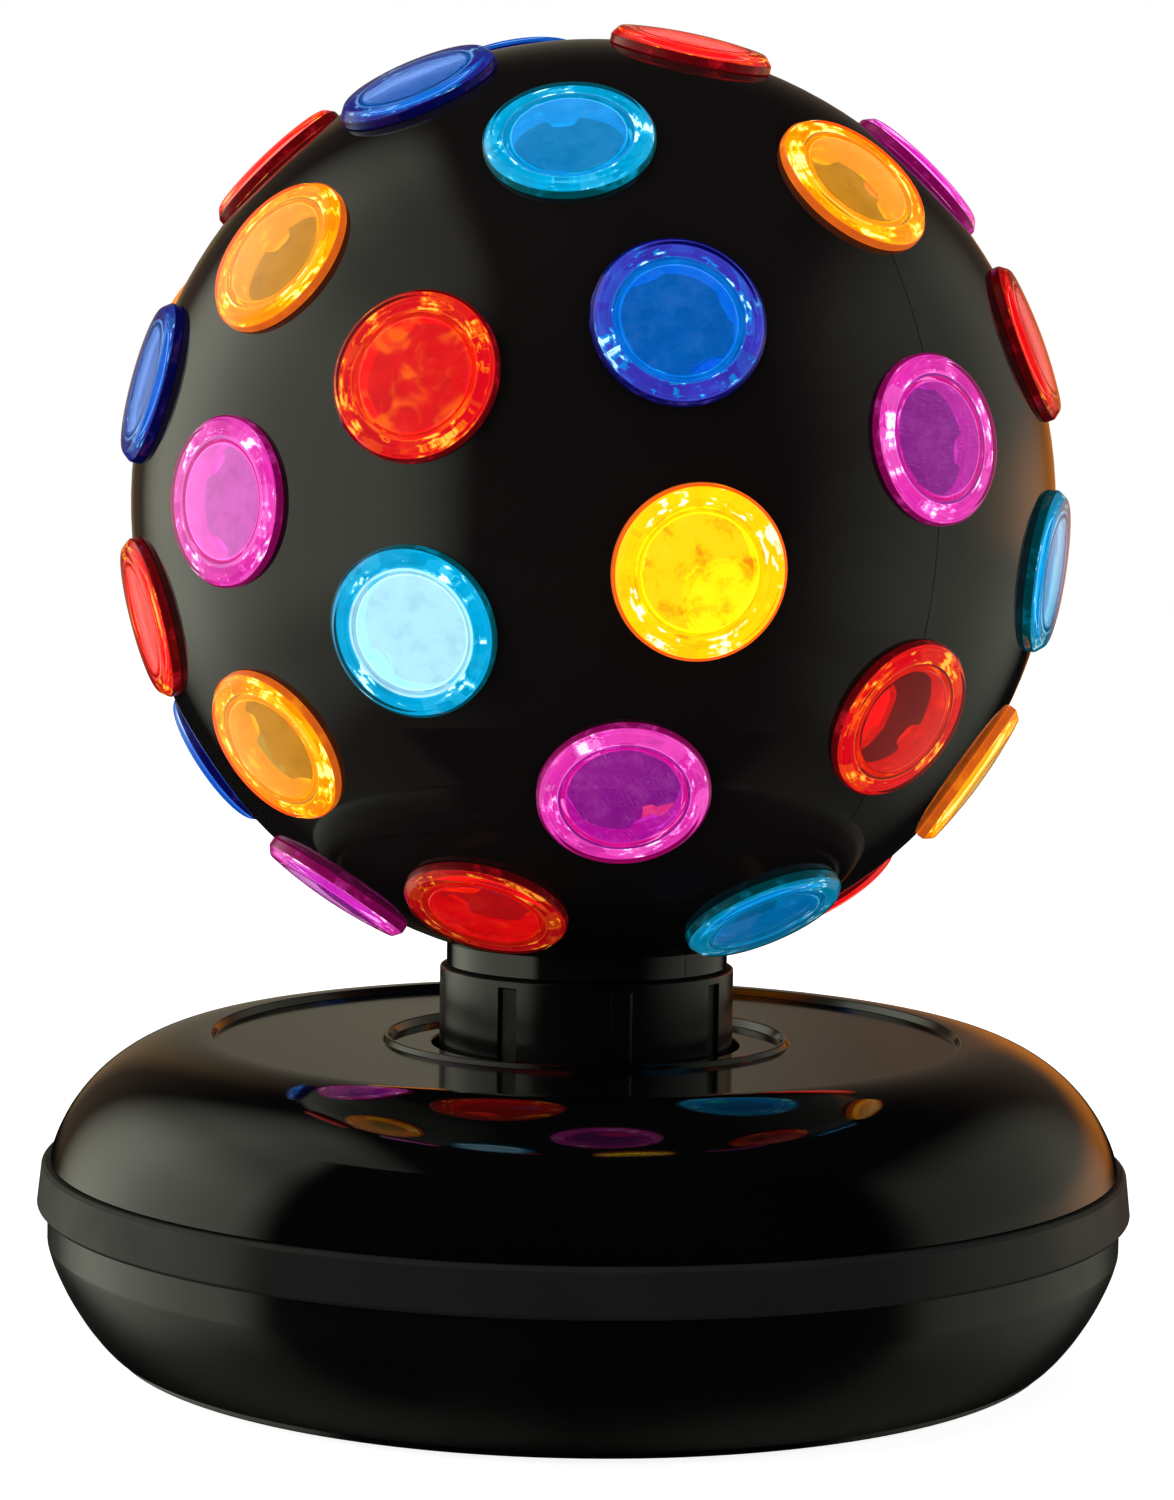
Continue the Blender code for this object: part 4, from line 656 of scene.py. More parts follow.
# Turned satin ABS: level lines round the collar, 0.3 mm apart, where real ones are 0.1 mm apart.
COLLAR_ABS = Moulded(
    "turned_black_abs", "#101011", 0.24, grain_mm=0.30, depth_mm=0.0040,
    grain_stretch=(30.0, 30.0, 1.0), wander_mm=12, gloss_share=0.35,
)
# ABS in the collar's grooves, where the mould was left rough: nearly black, and darker than the collar
# around it, which is painted shade in the recesses.
SHADED_GROOVE_ABS = Moulded("rough_groove_abs", "#0a0a0a", 0.60, grain_mm=0.25, depth_mm=0.006, wander_mm=6)
# Natural rubber with carbon black: deep black, hardly any sheen.
FOOT_RUBBER = Moulded("foot_rubber", "#121212", 0.80, ior=1.52, grain_mm=0.4, depth_mm=0.012, wander_mm=5)
# Acetal, injection-moulded: milky white and slightly waxy.
ACETAL = Moulded("natural_acetal", "#e6e4de", 0.38, ior=1.48, grain_mm=0.5, depth_mm=0.002, wander_mm=9)
# Nylon, turned: warm translucent white.
NYLON = Moulded("natural_nylon", "#dccfb2", 0.42, ior=1.53, grain_mm=0.3, depth_mm=0.003, wander_mm=6)
# Soft PVC on the leads: grey, with a low even sheen.
LEAD_PVC = Moulded("grey_pvc", "#7c7c80", 0.48, ior=1.54, grain_mm=0.5, depth_mm=0.004, wander_mm=7)
# Solder mask on a glass-fibre board: green, glossy, with the weave just felt beneath.
SOLDER_MASK = Moulded(
    "green_solder_mask", "#1e6a3a", 0.30, ior=1.5, grain_mm=0.5, depth_mm=0.006, wander_mm=6
)
# Zinc-plated steel, drawn and then plated: bright, cool grey, clouded by the plating.
ZINC_STEEL = PlatedSteel("zinc_plated_steel", "#c8c9cc", 0.28, metallic=1.0)
# Nickel-plated turned brass: a warm bright metal, on the jack's pin.
NICKEL_BRASS = PlatedSteel("nickel_plated_brass", "#d0ccc0", 0.20, metallic=1.0)
# ABS as it leaves the mould, inside the ball: dull brown-black, with the lamp's light on it painted as a
# faint mottled glow.
BALL_INSIDE_LAMPLIT = LampLit("ball_inside", "#16120e", 0.55, strength=0.06)
# Clear epoxy resin, cast over the lamp: a warm white glow.
LAMP_RESIN = LampLit("lit_resin", "#f4f2e6", 0.15, ior=1.53, glow="#fff8ea", strength=4.0, mottle_mm=3.0)


def lens_finishes(tint: Tint, glow: Glow) -> tuple[Finish, ...]:
    """The finishes of one lens.

    Args:
        tint: its colour.
        glow: how it is lit.

    Returns:
        Those of its front, back, window, rim and skirt, in the order of the zones.
    """
    ribbed, polished, rounded_off, polystyrene_ior = 0.35, 0.015, 0.06, 1.59
    roughness = {LensPart.BACK: ribbed, LensPart.SKIRT: ribbed, LensPart.RIM: rounded_off}
    clear = {LensPart.FRONT: tint.value.body, LensPart.WINDOW: tint.value.window}
    made = []
    for part in LensPart:
        name = f"{tint.name.lower()}_polystyrene_{part.value}_{glow.name.lower()}"
        colour, rough = clear.get(part, tint.value.rim), roughness.get(part, polished)
        made.append(LensFinish(name, colour, rough, polystyrene_ior, tint=tint, glow=glow, part=part))
    return tuple(made)


# Meshes


@dataclass(frozen=True)
class Corner:
    """A corner of a turned section: radius, height, fillet, and the zone of the face after it."""

    r: float
    z: float
    fillet: float = 0.0
    zone: int = 0


def rounded(corners: Sequence[Corner], steps: int = 4) -> tuple[list[Point], list[int]]:
    """Rounds the corners of a closed section.

    Args:
        corners: the corners in order.
        steps: the number of facets on each fillet.

    Returns:
        The section's points, and the zone of the face that starts at each.
    """
    points: list[Point] = []
    zones: list[int] = []
    for number, corner in enumerate(corners):
        here = Vector((corner.r, corner.z))
        following = corners[(number + 1) % len(corners)]
        before = Vector((corners[number - 1].r, corners[number - 1].z)) - here
        after = Vector((following.r, following.z)) - here
        if corner.fillet == 0:
            points.append((corner.r, corner.z))
            zones.append(corner.zone)
            continue
        half = before.angle(after) / 2
        reach = min(corner.fillet / math.tan(half), 0.48 * before.length, 0.48 * after.length)
        radius = reach * math.tan(half)
        towards = (before.normalized() + after.normalized()).normalized()
        centre = here + towards * (radius / math.sin(half))
        start = here + before.normalized() * reach - centre
        end = here + after.normalized() * reach - centre
        for step in range(steps + 1):
            spot = centre + start.lerp(end, step / steps).normalized() * radius
            points.append((spot.x, spot.y))
            zones.append(corner.zone)
    return points, zones


def curve_points(
    side: float, level: float, end: float, end_level: float, power: float, first: float,
    last: float, count: int,
) -> list[Point]:
    """Points on a superellipse quarter, from upright at (side, level) towards (end, end_level).

    Args:
        side: the radius where the curve is upright.
        level: the height there.
        end: the radius where it is level.
        end_level: the height there.
        power: its power, 2 for an ellipse.
        first: the angle of the first point.
        last: the angle of the last point.
        count: the number of points.

    Returns:
        (radius, height) points.
    """
    points = []
    for number in range(count):
        angle = first + (last - first) * number / (count - 1)
        across = max(math.cos(angle), 0.0) ** (2 / power)
        along = max(math.sin(angle), 0.0) ** (2 / power)
        points.append((end + (side - end) * across, level + (end_level - level) * along))
    return points


def mesh_of(
    name: str, points: Sequence[Sequence[float]], faces: Sequence[Sequence[int]], zones: Sequence[int]
) -> Mesh:
    """Makes a closed mesh, with doubled points joined and its faces turned outwards.

    Args:
        name: the mesh's name.
        points: its points, in mm.
        faces: the points of each face.
        zones: the material number of each face.

    Returns:
        The mesh, in metres.
    """
    mesh = bpy.data.meshes.new(name)
    mesh.from_pydata([tuple(MM * part for part in point) for point in points], [], faces)
    mesh.polygons.foreach_set("material_index", list(zones))
    shape = bmesh.new()
    shape.from_mesh(mesh)
    bmesh.ops.remove_doubles(shape, verts=shape.verts, dist=0.0005 * MM)
    bmesh.ops.dissolve_degenerate(shape, edges=shape.edges, dist=0.0002 * MM)
    bmesh.ops.recalc_face_normals(shape, faces=shape.faces)
    shape.to_mesh(mesh)
    shape.free()
    return mesh


def turned(
    name: str,
    section: Section | Sequence[Point],
    segments: int = PLAIN_TURN,
    zones: Sequence[int] | None = None,
    angles: Sequence[float] | None = None,
) -> Mesh:
    """Turns a closed section about Z.

    Args:
        name: the mesh's name.
        section: its points, or a function that gives them for an angle.
        segments: the number of facets round it, where no angles are given.
        zones: the zone of the face that starts at each point.
        angles: the angles of its columns.

    Returns:
        The mesh.
    """
    round_it = list(angles or (math.tau * n / segments for n in range(segments)))
    points: list[tuple[float, float, float]] = []
    count = 0
    for angle in round_it:
        ring = section(angle) if callable(section) else section
        count = len(ring)
        points += [(r * math.cos(angle), r * math.sin(angle), z) for r, z in ring]
    faces = []
    face_zones = []
    for column in range(len(round_it)):
        after = (column + 1) % len(round_it)
        for row in range(count):
            below = (row + 1) % count
            here, there = column * count, after * count
            faces.append((here + row, there + row, there + below, here + below))
            face_zones.append(zones[row] if zones else 0)
    return mesh_of(name, points, faces, face_zones)


def block(name: str, low: Sequence[float], high: Sequence[float], bevel: float = 0.0) -> Mesh:
    """A box between two corners, in mm, with rounded edges.

    Args:
        name: the mesh's name.
        low: its lowest corner.
        high: its highest corner.
        bevel: the radius of its edges.

    Returns:
        The mesh.
    """
    shape = bmesh.new()
    bmesh.ops.create_cube(shape, size=1)
    for vert in shape.verts:
        vert.co = Vector(MM * (a if part < 0 else b) for a, b, part in zip(low, high, vert.co))
    if bevel:
        round_off = {"offset": bevel * MM, "segments": 3, "profile": 0.5, "affect": "EDGES"}
        bmesh.ops.bevel(shape, geom=shape.edges, **round_off)
    mesh = bpy.data.meshes.new(name)
    shape.to_mesh(mesh)
    shape.free()
    return mesh


def extruded(name: str, outline: Sequence[Point], bottom: float, top: float) -> Mesh:
    """An upright solid on an outline in XY.

    Args:
        name: the mesh's name.
        outline: its points in order, in mm.
        bottom: the height of its lower face.
        top: the height of its upper face.

    Returns:
        The mesh.
    """
    count = len(outline)
    points = [(x, y, z) for z in (bottom, top) for x, y in outline]
    faces = [tuple(range(count)), tuple(range(count, 2 * count))]
    faces += [(n, (n + 1) % count, count + (n + 1) % count, count + n) for n in range(count)]
    return mesh_of(name, points, faces, [0] * len(faces))


def rod(name: str, radius: float, bottom: float, top: float, segments: int = 32) -> Mesh:
    """An upright rod about Z."""
    section = [(0.0, bottom), (radius, bottom), (radius, top), (0.0, top)]
    return turned(name, section, segments)


def along_y(x: float, y: float, z: float) -> Matrix:
    """The matrix that lays a piece turned about Z along +Y, with its foot at a place in mm."""
    return Matrix.Translation(Vector((x, y, z)) * MM) @ Matrix.Rotation(-QUARTER, 4, "X")


def joined(name: str, meshes: Sequence[tuple[Mesh, Matrix]]) -> Mesh:
    """One mesh of several, each moved by its matrix.

    Args:
        name: the new mesh's name.
        meshes: the meshes, which stay as they are, and their matrices.

    Returns:
        The new mesh.
    """
    shape = bmesh.new()
    for mesh, matrix in meshes:
        moved = mesh.copy()
        moved.transform(matrix)
        shape.from_mesh(moved)
        bpy.data.meshes.remove(moved)
    made = bpy.data.meshes.new(name)
    shape.to_mesh(made)
    shape.free()
    return made


def settle(item: Item) -> None:
    """Applies the object's modifiers.

    Args:
        item: the object, which gets a new mesh.
    """
    graph = bpy.context.evaluated_depsgraph_get()
    made = bpy.data.meshes.new_from_object(item.evaluated_get(graph), depsgraph=graph)
    made.name = item.name
    item.modifiers.clear()
    old = item.data
    item.data = made
    bpy.data.meshes.remove(old)


def combine(item: Item, mesh: Mesh, operation: str) -> None:
    """Cuts a mesh from the object or adds it, and removes the tool.

    Args:
        item: the object to change.
        mesh: the tool, in the object's own frame.
        operation: DIFFERENCE, UNION or INTERSECT.
    """
    tool = bpy.data.objects.new("tool", mesh)
    tool.matrix_world = item.matrix_world.copy()
    bpy.context.scene.collection.objects.link(tool)
    step = item.modifiers.new("cut", "BOOLEAN")
    step.operation = operation
    step.solver = "EXACT"
    step.object = tool
    settle(item)
    bpy.data.objects.remove(tool)
    bpy.data.meshes.remove(mesh)


def shade(item: Item) -> None:
    """Shades an object smooth between its sharp edges, with the larger faces setting the normals.

    Args:
        item: the object.
    """
    item.data.shade_smooth()
    item.data.set_sharp_from_angle(angle=SHARP)
    step = item.modifiers.new("normals", "WEIGHTED_NORMAL")
    step.keep_sharp = True
    step.weight = 100
    settle(item)


def keep_curve(item: Item, whole: Mesh) -> None:
    """Gives a cut object the smooth normals that its surface had when it was whole.

    Args:
        item: the cut object, shaded.
        whole: the mesh before it was cut, shaded.
    """
    nearest, alike, much_alike, above = 0.05 * MM, 0.95, 0.9, 0.002 * MM
    whole.calc_loop_triangles()
    triangles = whole.loop_triangles
    tree = BVHTree.FromPolygons([v.co for v in whole.vertices], [t.vertices for t in triangles])
    corner = [n.vector.copy() for n in whole.corner_normals]
    mesh = item.data
    normals = [Vector((0, 0, 0))] * len(mesh.loops)
    for face in mesh.polygons:
        _, facing, _, away = tree.find_nearest(face.center)
        if away > nearest or facing.dot(face.normal) < alike:
            continue
        for loop in face.loop_indices:
            spot = mesh.vertices[mesh.loops[loop].vertex_index].co
            _, facing, number, _ = tree.find_nearest(spot + face.normal * above)
            if facing.dot(face.normal) < much_alike:
                continue
            near = [(whole.vertices[v].co - spot).length for v in triangles[number].vertices]
            weights = [1 / (part + 0.001 * MM) for part in near]
            mixed = Vector((0, 0, 0))
            for weight, source in zip(weights, triangles[number].loops):
                mixed += corner[source] * weight
            normals[loop] = mixed.normalized()
    mesh.normals_split_custom_set(normals)


@dataclass
class Piece:
    """A piece under way: its object, and how it joins the frame.

    It stands for the CAD nodes that it names, and its place is where its mesh goes at the end.
    """

    name: str
    mesh: Mesh
    finishes: Sequence[Finish]
    body: str
    slot: str
    stands_for: tuple[str, ...] = ()
    place: Matrix = field(default_factory=lambda: Matrix.Identity(4))
    item: Item = field(init=False)

    def __post_init__(self) -> None:
        """Makes the object."""
        self.item = bpy.data.objects.new(self.name, self.mesh)
        bpy.context.scene.collection.objects.link(self.item)

    def cut(self, mesh: Mesh) -> "Piece":
        """Cuts a mesh away."""
        combine(self.item, mesh, "DIFFERENCE")
        return self

    def add(self, mesh: Mesh) -> "Piece":
        """Adds a mesh to it."""
        combine(self.item, mesh, "UNION")
        return self

    def keep_within(self, mesh: Mesh) -> "Piece":
        """Keeps only what lies in a mesh."""
        combine(self.item, mesh, "INTERSECT")
        return self

    def soften(self, radius: float, segments: int = 2) -> "Piece":
        """Rounds its sharp edges.

        Args:
            radius: the radius, in mm.
            segments: the facets across each edge.

        Returns:
            The piece.
        """
        step = self.item.modifiers.new("soften", "BEVEL")
        step.width = radius * MM
        step.segments = segments
        step.limit_method = "ANGLE"
        step.angle_limit = SHARP
        step.harden_normals = False
        settle(self.item)
        return self

    def done(self, whole: Mesh | None = None) -> Item:
        """Shades and dresses it, puts it in place and joins it to the frame.

        Args:
            whole: the mesh before it was cut, where its curve has to be kept.

        Returns:
            The finished object.
        """
        shade(self.item)
        if whole:
            keep_curve(self.item, whole)
        mesh = self.item.data
        own = mesh.attributes.new(OWN_PLACE, "FLOAT_VECTOR", "POINT")
        own.data.foreach_set("vector", [part for vert in mesh.vertices for part in vert.co])
        mesh.transform(self.place)
        for finish in self.finishes:
            mesh.materials.append(finish.build())
        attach(self.item, self.body)
        if self.stands_for:
            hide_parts(*self.stands_for)
        LOG.info("%s: %d faces on %s", self.name, len(self.item.data.polygons), self.body)
        return self.item


def dress(node: str, finish: Finish) -> None:
    """Gives a CAD node that is kept its finish.

    Args:
        node: the node's name.
        finish: its finish.
    """
    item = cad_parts[node]
    item.data.materials.clear()
    item.data.materials.append(finish.build())
    LOG.info("%s: kept, in %s", node, finish.name)


def round_places(count: int, radius: float, first: float) -> list[Vector]:
    """Evenly spaced places on a circle about the axis.

    Args:
        count: how many there are.
        radius: the circle's radius, in mm.
        first: the angle of the first.

    Returns:
        The places, in metres.
    """
    turns = [first + math.tau * number / count for number in range(count)]
    return [Vector((math.cos(turn), math.sin(turn), 0)) * radius * MM for turn in turns]


# Base


@dataclass
class Base:
    """The still outside of the base: top shell, band and bowl."""

    gap: float = 0.15
    seat: float = 87.0
    wall: float = 2.2
    seam: float = 27.7
    band_bottom: float = 24.0
    band_top: float = 31.4
    band_bottom_radius: float = 89.6
    band_top_radius: float = 88.9
    bowl_radius: float = 87.9
    bowl_curve_top: float = 18.6
    bowl_curve_end: float = 0.7
    bowl_bottom: float = 2.3
    bowl_end_radius: float = 76.4
    bowl_power: float = 1.33
    shoulder_radius: float = 88.2
    shoulder_level: float = 26.3
    shoulder_top: float = 51.4
    shoulder_power: float = 1.95
    lip_radius: float = 62.2
    lip_width: float = 1.2
    deck: float = 50.2
    bead_radius: float = 33.6
    bead_width: float = 1.4
    bead_top: float = 51.1
    neck_floor: float = 49.7
    neck_hole: float = 25.4
    underside: float = 47.5
    panel_half_width: float = 15.7
    panel_half_height: float = 6.2
    panel_level: float = 15.5
    frame_wall: float = 2.7
    frame_inner: float = 78.0
    boss_radius: float = 3.6
    boss_height: float = 10.0
    boss_place: float = 69.0
    boss_bottom: float = 3.7
    pilot_radius: float = 1.6
    pilot_top: float = 10.0
    rib_half_width: float = 1.2
    rib_length: float = 16.2
    rib_step: float = 2.4
    inside_skin: float = 0.5

    def shoulder(self, inset: float, count: int) -> list[Point]:
        """The shoulder's section from the band up to the lip.

        Args:
            inset: how far it is moved inwards.
            count: the number of points.

        Returns:
            (radius, height) points.
        """
        rise = (self.band_top - self.shoulder_level) / (self.shoulder_top - self.shoulder_level)
        first = math.asin(rise ** (self.shoulder_power / 2))
        return curve_points(
            self.shoulder_radius - inset, self.shoulder_level, self.lip_radius,
            self.shoulder_top - inset, self.shoulder_power, first, QUARTER, count,
        )

    def bowl_curve(self, inset: float, count: int) -> list[Point]:
        """The bowl's section from its upright side down to its bottom edge.

        Args:
            inset: how far it is moved inwards.
            count: the number of points.

        Returns:
            (radius, height) points.
        """
        drop = (self.bowl_curve_top - self.bowl_bottom) / (self.bowl_curve_top - self.bowl_curve_end)
        last = math.asin(drop ** (self.bowl_power / 2))
        return curve_points(
            self.bowl_radius - inset, self.bowl_curve_top, self.bowl_end_radius - inset,
            self.bowl_curve_end, self.bowl_power, 0.0, last, count,
        )

    def build_top(self) -> None:
        """The glossy top shell, with its lip, deck, bead and neck hole."""
        above_band = self.band_top + self.gap
        curve = self.shoulder(0.0, 40)
        lip_inner = self.lip_radius - self.lip_width
        bead_inner = self.bead_radius - self.bead_width
        slope = self.bead_width * 0.33
        outer = [Corner(self.seat, self.seam + self.gap), Corner(self.seat, above_band)]
        outer += [Corner(curve[0][0], above_band, 0.15)] + [Corner(r, z) for r, z in curve[1:-1]]
        outer += [
            Corner(self.lip_radius, self.shoulder_top, 0.3, 1),
            Corner(self.lip_radius - self.lip_width / 2, self.shoulder_top, 0.25, 1),
            Corner(lip_inner, self.deck, 0.2, 1),
            Corner(self.bead_radius, self.deck, 0.2, 1),
            Corner(self.bead_radius - slope, self.bead_top, 0.3, 1),
            Corner(bead_inner + slope, self.bead_top, 0.3, 1),
            Corner(bead_inner, self.neck_floor, 0.2),
            Corner(self.neck_hole, self.neck_floor, 0.3),
        ]
        inner = [Corner(self.neck_hole, self.underside)]
        inset = self.wall + self.shoulder_top - self.deck
        inner += [Corner(r, z) for r, z in self.shoulder(inset, 14)[::-1]]
        inner += [Corner(self.seat - self.wall, self.seam + self.gap)]
        section, zones = rounded(outer + inner)
        mesh = turned("base_top", section, FINE_TURN, zones)
        finishes = (POLISHED_ABS, DECK_ABS)
        Piece("base_top", mesh, finishes, "base", "gloss_black", ("base_upper_shell",)).done()

    def build_band(self) -> None:
        """The charcoal band over the seam."""
        inner = self.seat + self.gap
        chamfer = 0.6
        corners = [
            Corner(inner, self.band_bottom),
            Corner(self.band_bottom_radius - chamfer, self.band_bottom, 0.2),
            Corner(self.band_bottom_radius, self.band_bottom + chamfer, 0.35),
            Corner(self.band_top_radius, self.band_top - chamfer, 0.35),
            Corner(self.band_top_radius - chamfer, self.band_top, 0.2),
            Corner(inner, self.band_top),
        ]
        section, zones = rounded(corners)
        mesh = turned("base_trim_band", section, FINE_TURN, zones)
        Piece("base_trim_band", mesh, (CHARCOAL_ABS,), "base", "charcoal", ("base_band",)).done()

    def build_bowl(self) -> None:
        """The satin bowl, with its screw bosses and the framed window for the rear panel."""
        below_band = self.band_bottom - self.gap
        corners = [
            Corner(self.seat, self.seam - self.gap), Corner(self.seat, below_band),
            Corner(self.bowl_radius, below_band, 0.15),
        ]
        curve = self.bowl_curve(0.0, 30)
        corners += [Corner(r, z) for r, z in curve[:-1]] + [Corner(*curve[-1], 0.25)]
        corners += [Corner(r, z) for r, z in self.bowl_curve(self.wall, 12)[::-1]]
        corners += [Corner(self.seat - self.wall, self.seam - self.gap)]
        section, zones = rounded(corners)
        whole = Piece("whole_bowl", turned("whole_bowl", section, FINE_TURN, zones), (), "base", "")
        shade(whole.item)
        mesh = whole.item.data.copy()
        bowl = Piece("base_bowl", mesh, (SATIN_ABS,), "base", "satin_black", ("base_lower_shell",))

        half_width, half_height = self.panel_half_width + self.gap, self.panel_half_height + self.gap
        bottom, top = self.panel_level - half_height, self.panel_level + half_height
        low = (-half_width - self.frame_wall, self.frame_inner, bottom - self.frame_wall)
        high = (half_width + self.frame_wall, self.seat, top)
        surround = Piece("surround", block("surround", low, high), (), "base", "")
        room = [(0.0, below_band), (self.bowl_radius - self.inside_skin, below_band)]
        room += self.bowl_curve(self.inside_skin, 30) + [(0.0, self.bowl_bottom)]
        surround.keep_within(turned("room", room, FINE_TURN))
        bowl.add(surround.item.data.copy())
        bpy.data.objects.remove(surround.item)
        boss_top = self.boss_bottom + self.boss_height
        for number, spot in enumerate(round_places(CORNERS, self.boss_place, QUARTER / 2)):
            low = (0, -self.rib_half_width, self.boss_bottom + self.rib_step)
            rib = block("rib", low, (self.rib_length, self.rib_half_width, boss_top))
            place = Matrix.Translation(spot)
            turn = Matrix.Rotation(QUARTER * (number + 0.5), 4, "Z")
            mesh = rod("boss", self.boss_radius, self.boss_bottom, boss_top)
            boss = Piece("boss", joined("boss", [(mesh, place)]), (), "base", "")
            boss.add(joined("rib", [(rib, place @ turn)]))
            boss.keep_within(turned("room", room, FINE_TURN))
            bowl.add(boss.item.data.copy())
            bpy.data.objects.remove(boss.item)
            pilot = rod("hole", self.pilot_radius, 0.0, self.pilot_top, 24)
            bowl.cut(joined("hole", [(pilot, place)]))
        low = (-half_width, self.frame_inner - 4, bottom)
        bowl.cut(block("opening", low, (half_width, self.seat + 6, top), 0.6))
        bowl.done(whole.item.data)
        bpy.data.objects.remove(whole.item)

    def build(self) -> None:
        """Builds all of it."""
        self.build_top()
        self.build_band()
        self.build_bowl()


@dataclass
class Underside:
    """The bottom plate, its screws and its rubber feet."""

    plate_radius: float = 77.4
    plate_bottom: float = 1.0
    rim_top: float = 2.0
    plate_top: float = 3.4
    step_radius: float = 73.9
    foot_radius: float = 6.0
    foot_height: float = 1.8
    foot_place: float = 66.0
    foot_dish: float = 0.25
    foot_dish_slope: float = 0.12
    screw_place: float = 69.0
    head_radius: float = 2.8
    head_height: float = 1.1
    shank_radius: float = 1.4
    shank_length: float = 8.5
    shank_point: float = 0.6
    shank_end: float = 0.3
    cross_reach: float = 1.5
    cross_half_width: float = 0.3
    cross_depth: float = 0.7
    cross_turn: float = 0.3
    motor_x: float = -33.0
    motor_screw_y: float = 18.0
    motor_post_top: float = 32.2
    motor_post_radius: float = 3.2
    board_post_radius: float = 2.2
    board_posts: tuple[Point, ...] = ((-20.0, 46.0), (20.0, 46.0), (-20.0, 70.0), (20.0, 70.0))
    board_post_top: float = 8.7

    def post(self, name: str, radius: float, top: float, x: float, y: float) -> Mesh:
        """A post on the plate."""
        mesh = rod(name, radius, self.plate_top - 0.5, top)
        return joined(name, [(mesh, Matrix.Translation((x * MM, y * MM, 0)))])

    def build_plate(self) -> None:
        """The black bottom plate."""
        corners = [
            Corner(0, self.plate_bottom), Corner(self.plate_radius, self.plate_bottom, 0.3),
            Corner(self.plate_radius, self.rim_top, 0.2), Corner(self.step_radius, self.rim_top),
            Corner(self.step_radius, self.plate_top, 0.2), Corner(0, self.plate_top),
        ]
        section, zones = rounded(corners)
        mesh = turned("base_plate", section, FINE_TURN, zones)
        plate = Piece("base_plate", mesh, (SATIN_ABS,), "base", "gloss_black", ("bottom_plate",))
        below, above = -4.0, 8.0
        seat = self.plate_bottom + self.head_height + 0.5
        head, shank = self.head_radius + 0.3, self.shank_radius + 0.3
        hole = [(0.0, below), (head, below), (head, seat), (shank, seat), (shank, above), (0.0, above)]
        feet = round_places(CORNERS, self.foot_place, 0)
        screws = round_places(CORNERS, self.screw_place, QUARTER / 2)
        wide, depth = self.foot_radius + 0.2, 2.0
        tools = [(rod("recess", wide, below, depth, 48), spot) for spot in feet]
        tools += [(turned("hole", hole, 32), spot) for spot in screws]
        plate.cut(joined("holes", [(tool, Matrix.Translation(spot)) for tool, spot in tools]))
        for y in (-self.motor_screw_y, self.motor_screw_y):
            top = self.motor_post_top
            plate.add(self.post("motor_post", self.motor_post_radius, top, self.motor_x, y))
        for x, y in self.board_posts:
            plate.add(self.post("board_post", self.board_post_radius, self.board_post_top, x, y))
        plate.soften(0.12, 1).done()

    def build_feet(self) -> None:
        """Four rubber feet, softly rounded and dished."""
        corners = [
            Corner(0, self.foot_dish), Corner(self.foot_radius * 0.55, self.foot_dish_slope),
            Corner(self.foot_radius * 0.7, 0), Corner(self.foot_radius, 0, 0.5),
            Corner(self.foot_radius, self.foot_height, 0.1), Corner(0, self.foot_height),
        ]
        section, zones = rounded(corners)
        for number, spot in enumerate(round_places(CORNERS, self.foot_place, 0), start=1):
            mesh = turned(f"foot_{number}", section, 64, zones)
            node = f"rubber_foot_{number}"
            place = Matrix.Translation(spot)
            Piece(f"foot_{number}", mesh, (FOOT_RUBBER,), "base", "rubber", (node,), place).done()

    def build_screws(self) -> None:
        """Four cross-headed plate screws."""
        head = self.plate_bottom + 0.3
        shank = head + self.head_height
        tip = head + self.shank_length
        corners = [
            Corner(0, head), Corner(self.head_radius, head, 0.45), Corner(self.head_radius, shank, 0.1),
            Corner(self.shank_radius, shank), Corner(self.shank_radius, tip - self.shank_point),
            Corner(self.shank_end, tip), Corner(0, tip),
        ]
        section, zones = rounded(corners)
        places = round_places(CORNERS, self.screw_place, QUARTER / 2)
        reach, half = self.cross_reach, self.cross_half_width
        for number, spot in enumerate(places, start=1):
            name = f"plate_fixing_{number}"
            place = Matrix.Translation(spot)
            screw = Piece(
                name, turned(name, section, 40, zones), (ZINC_STEEL,), "base", "zinc_steel",
                (f"plate_screw_{number}",), place,
            )
            for turn in (0.0, QUARTER):
                blade = block("blade", (-reach, -half, head - 1), (reach, half, head + self.cross_depth))
                around = Matrix.Rotation(turn + self.cross_turn * number, 4, "Z")
                screw.cut(joined("blade", [(blade, around)]))
            screw.done()

    def build(self) -> None:
        """Builds all of it."""
        self.build_plate()
        self.build_feet()
        self.build_screws()


# Rear


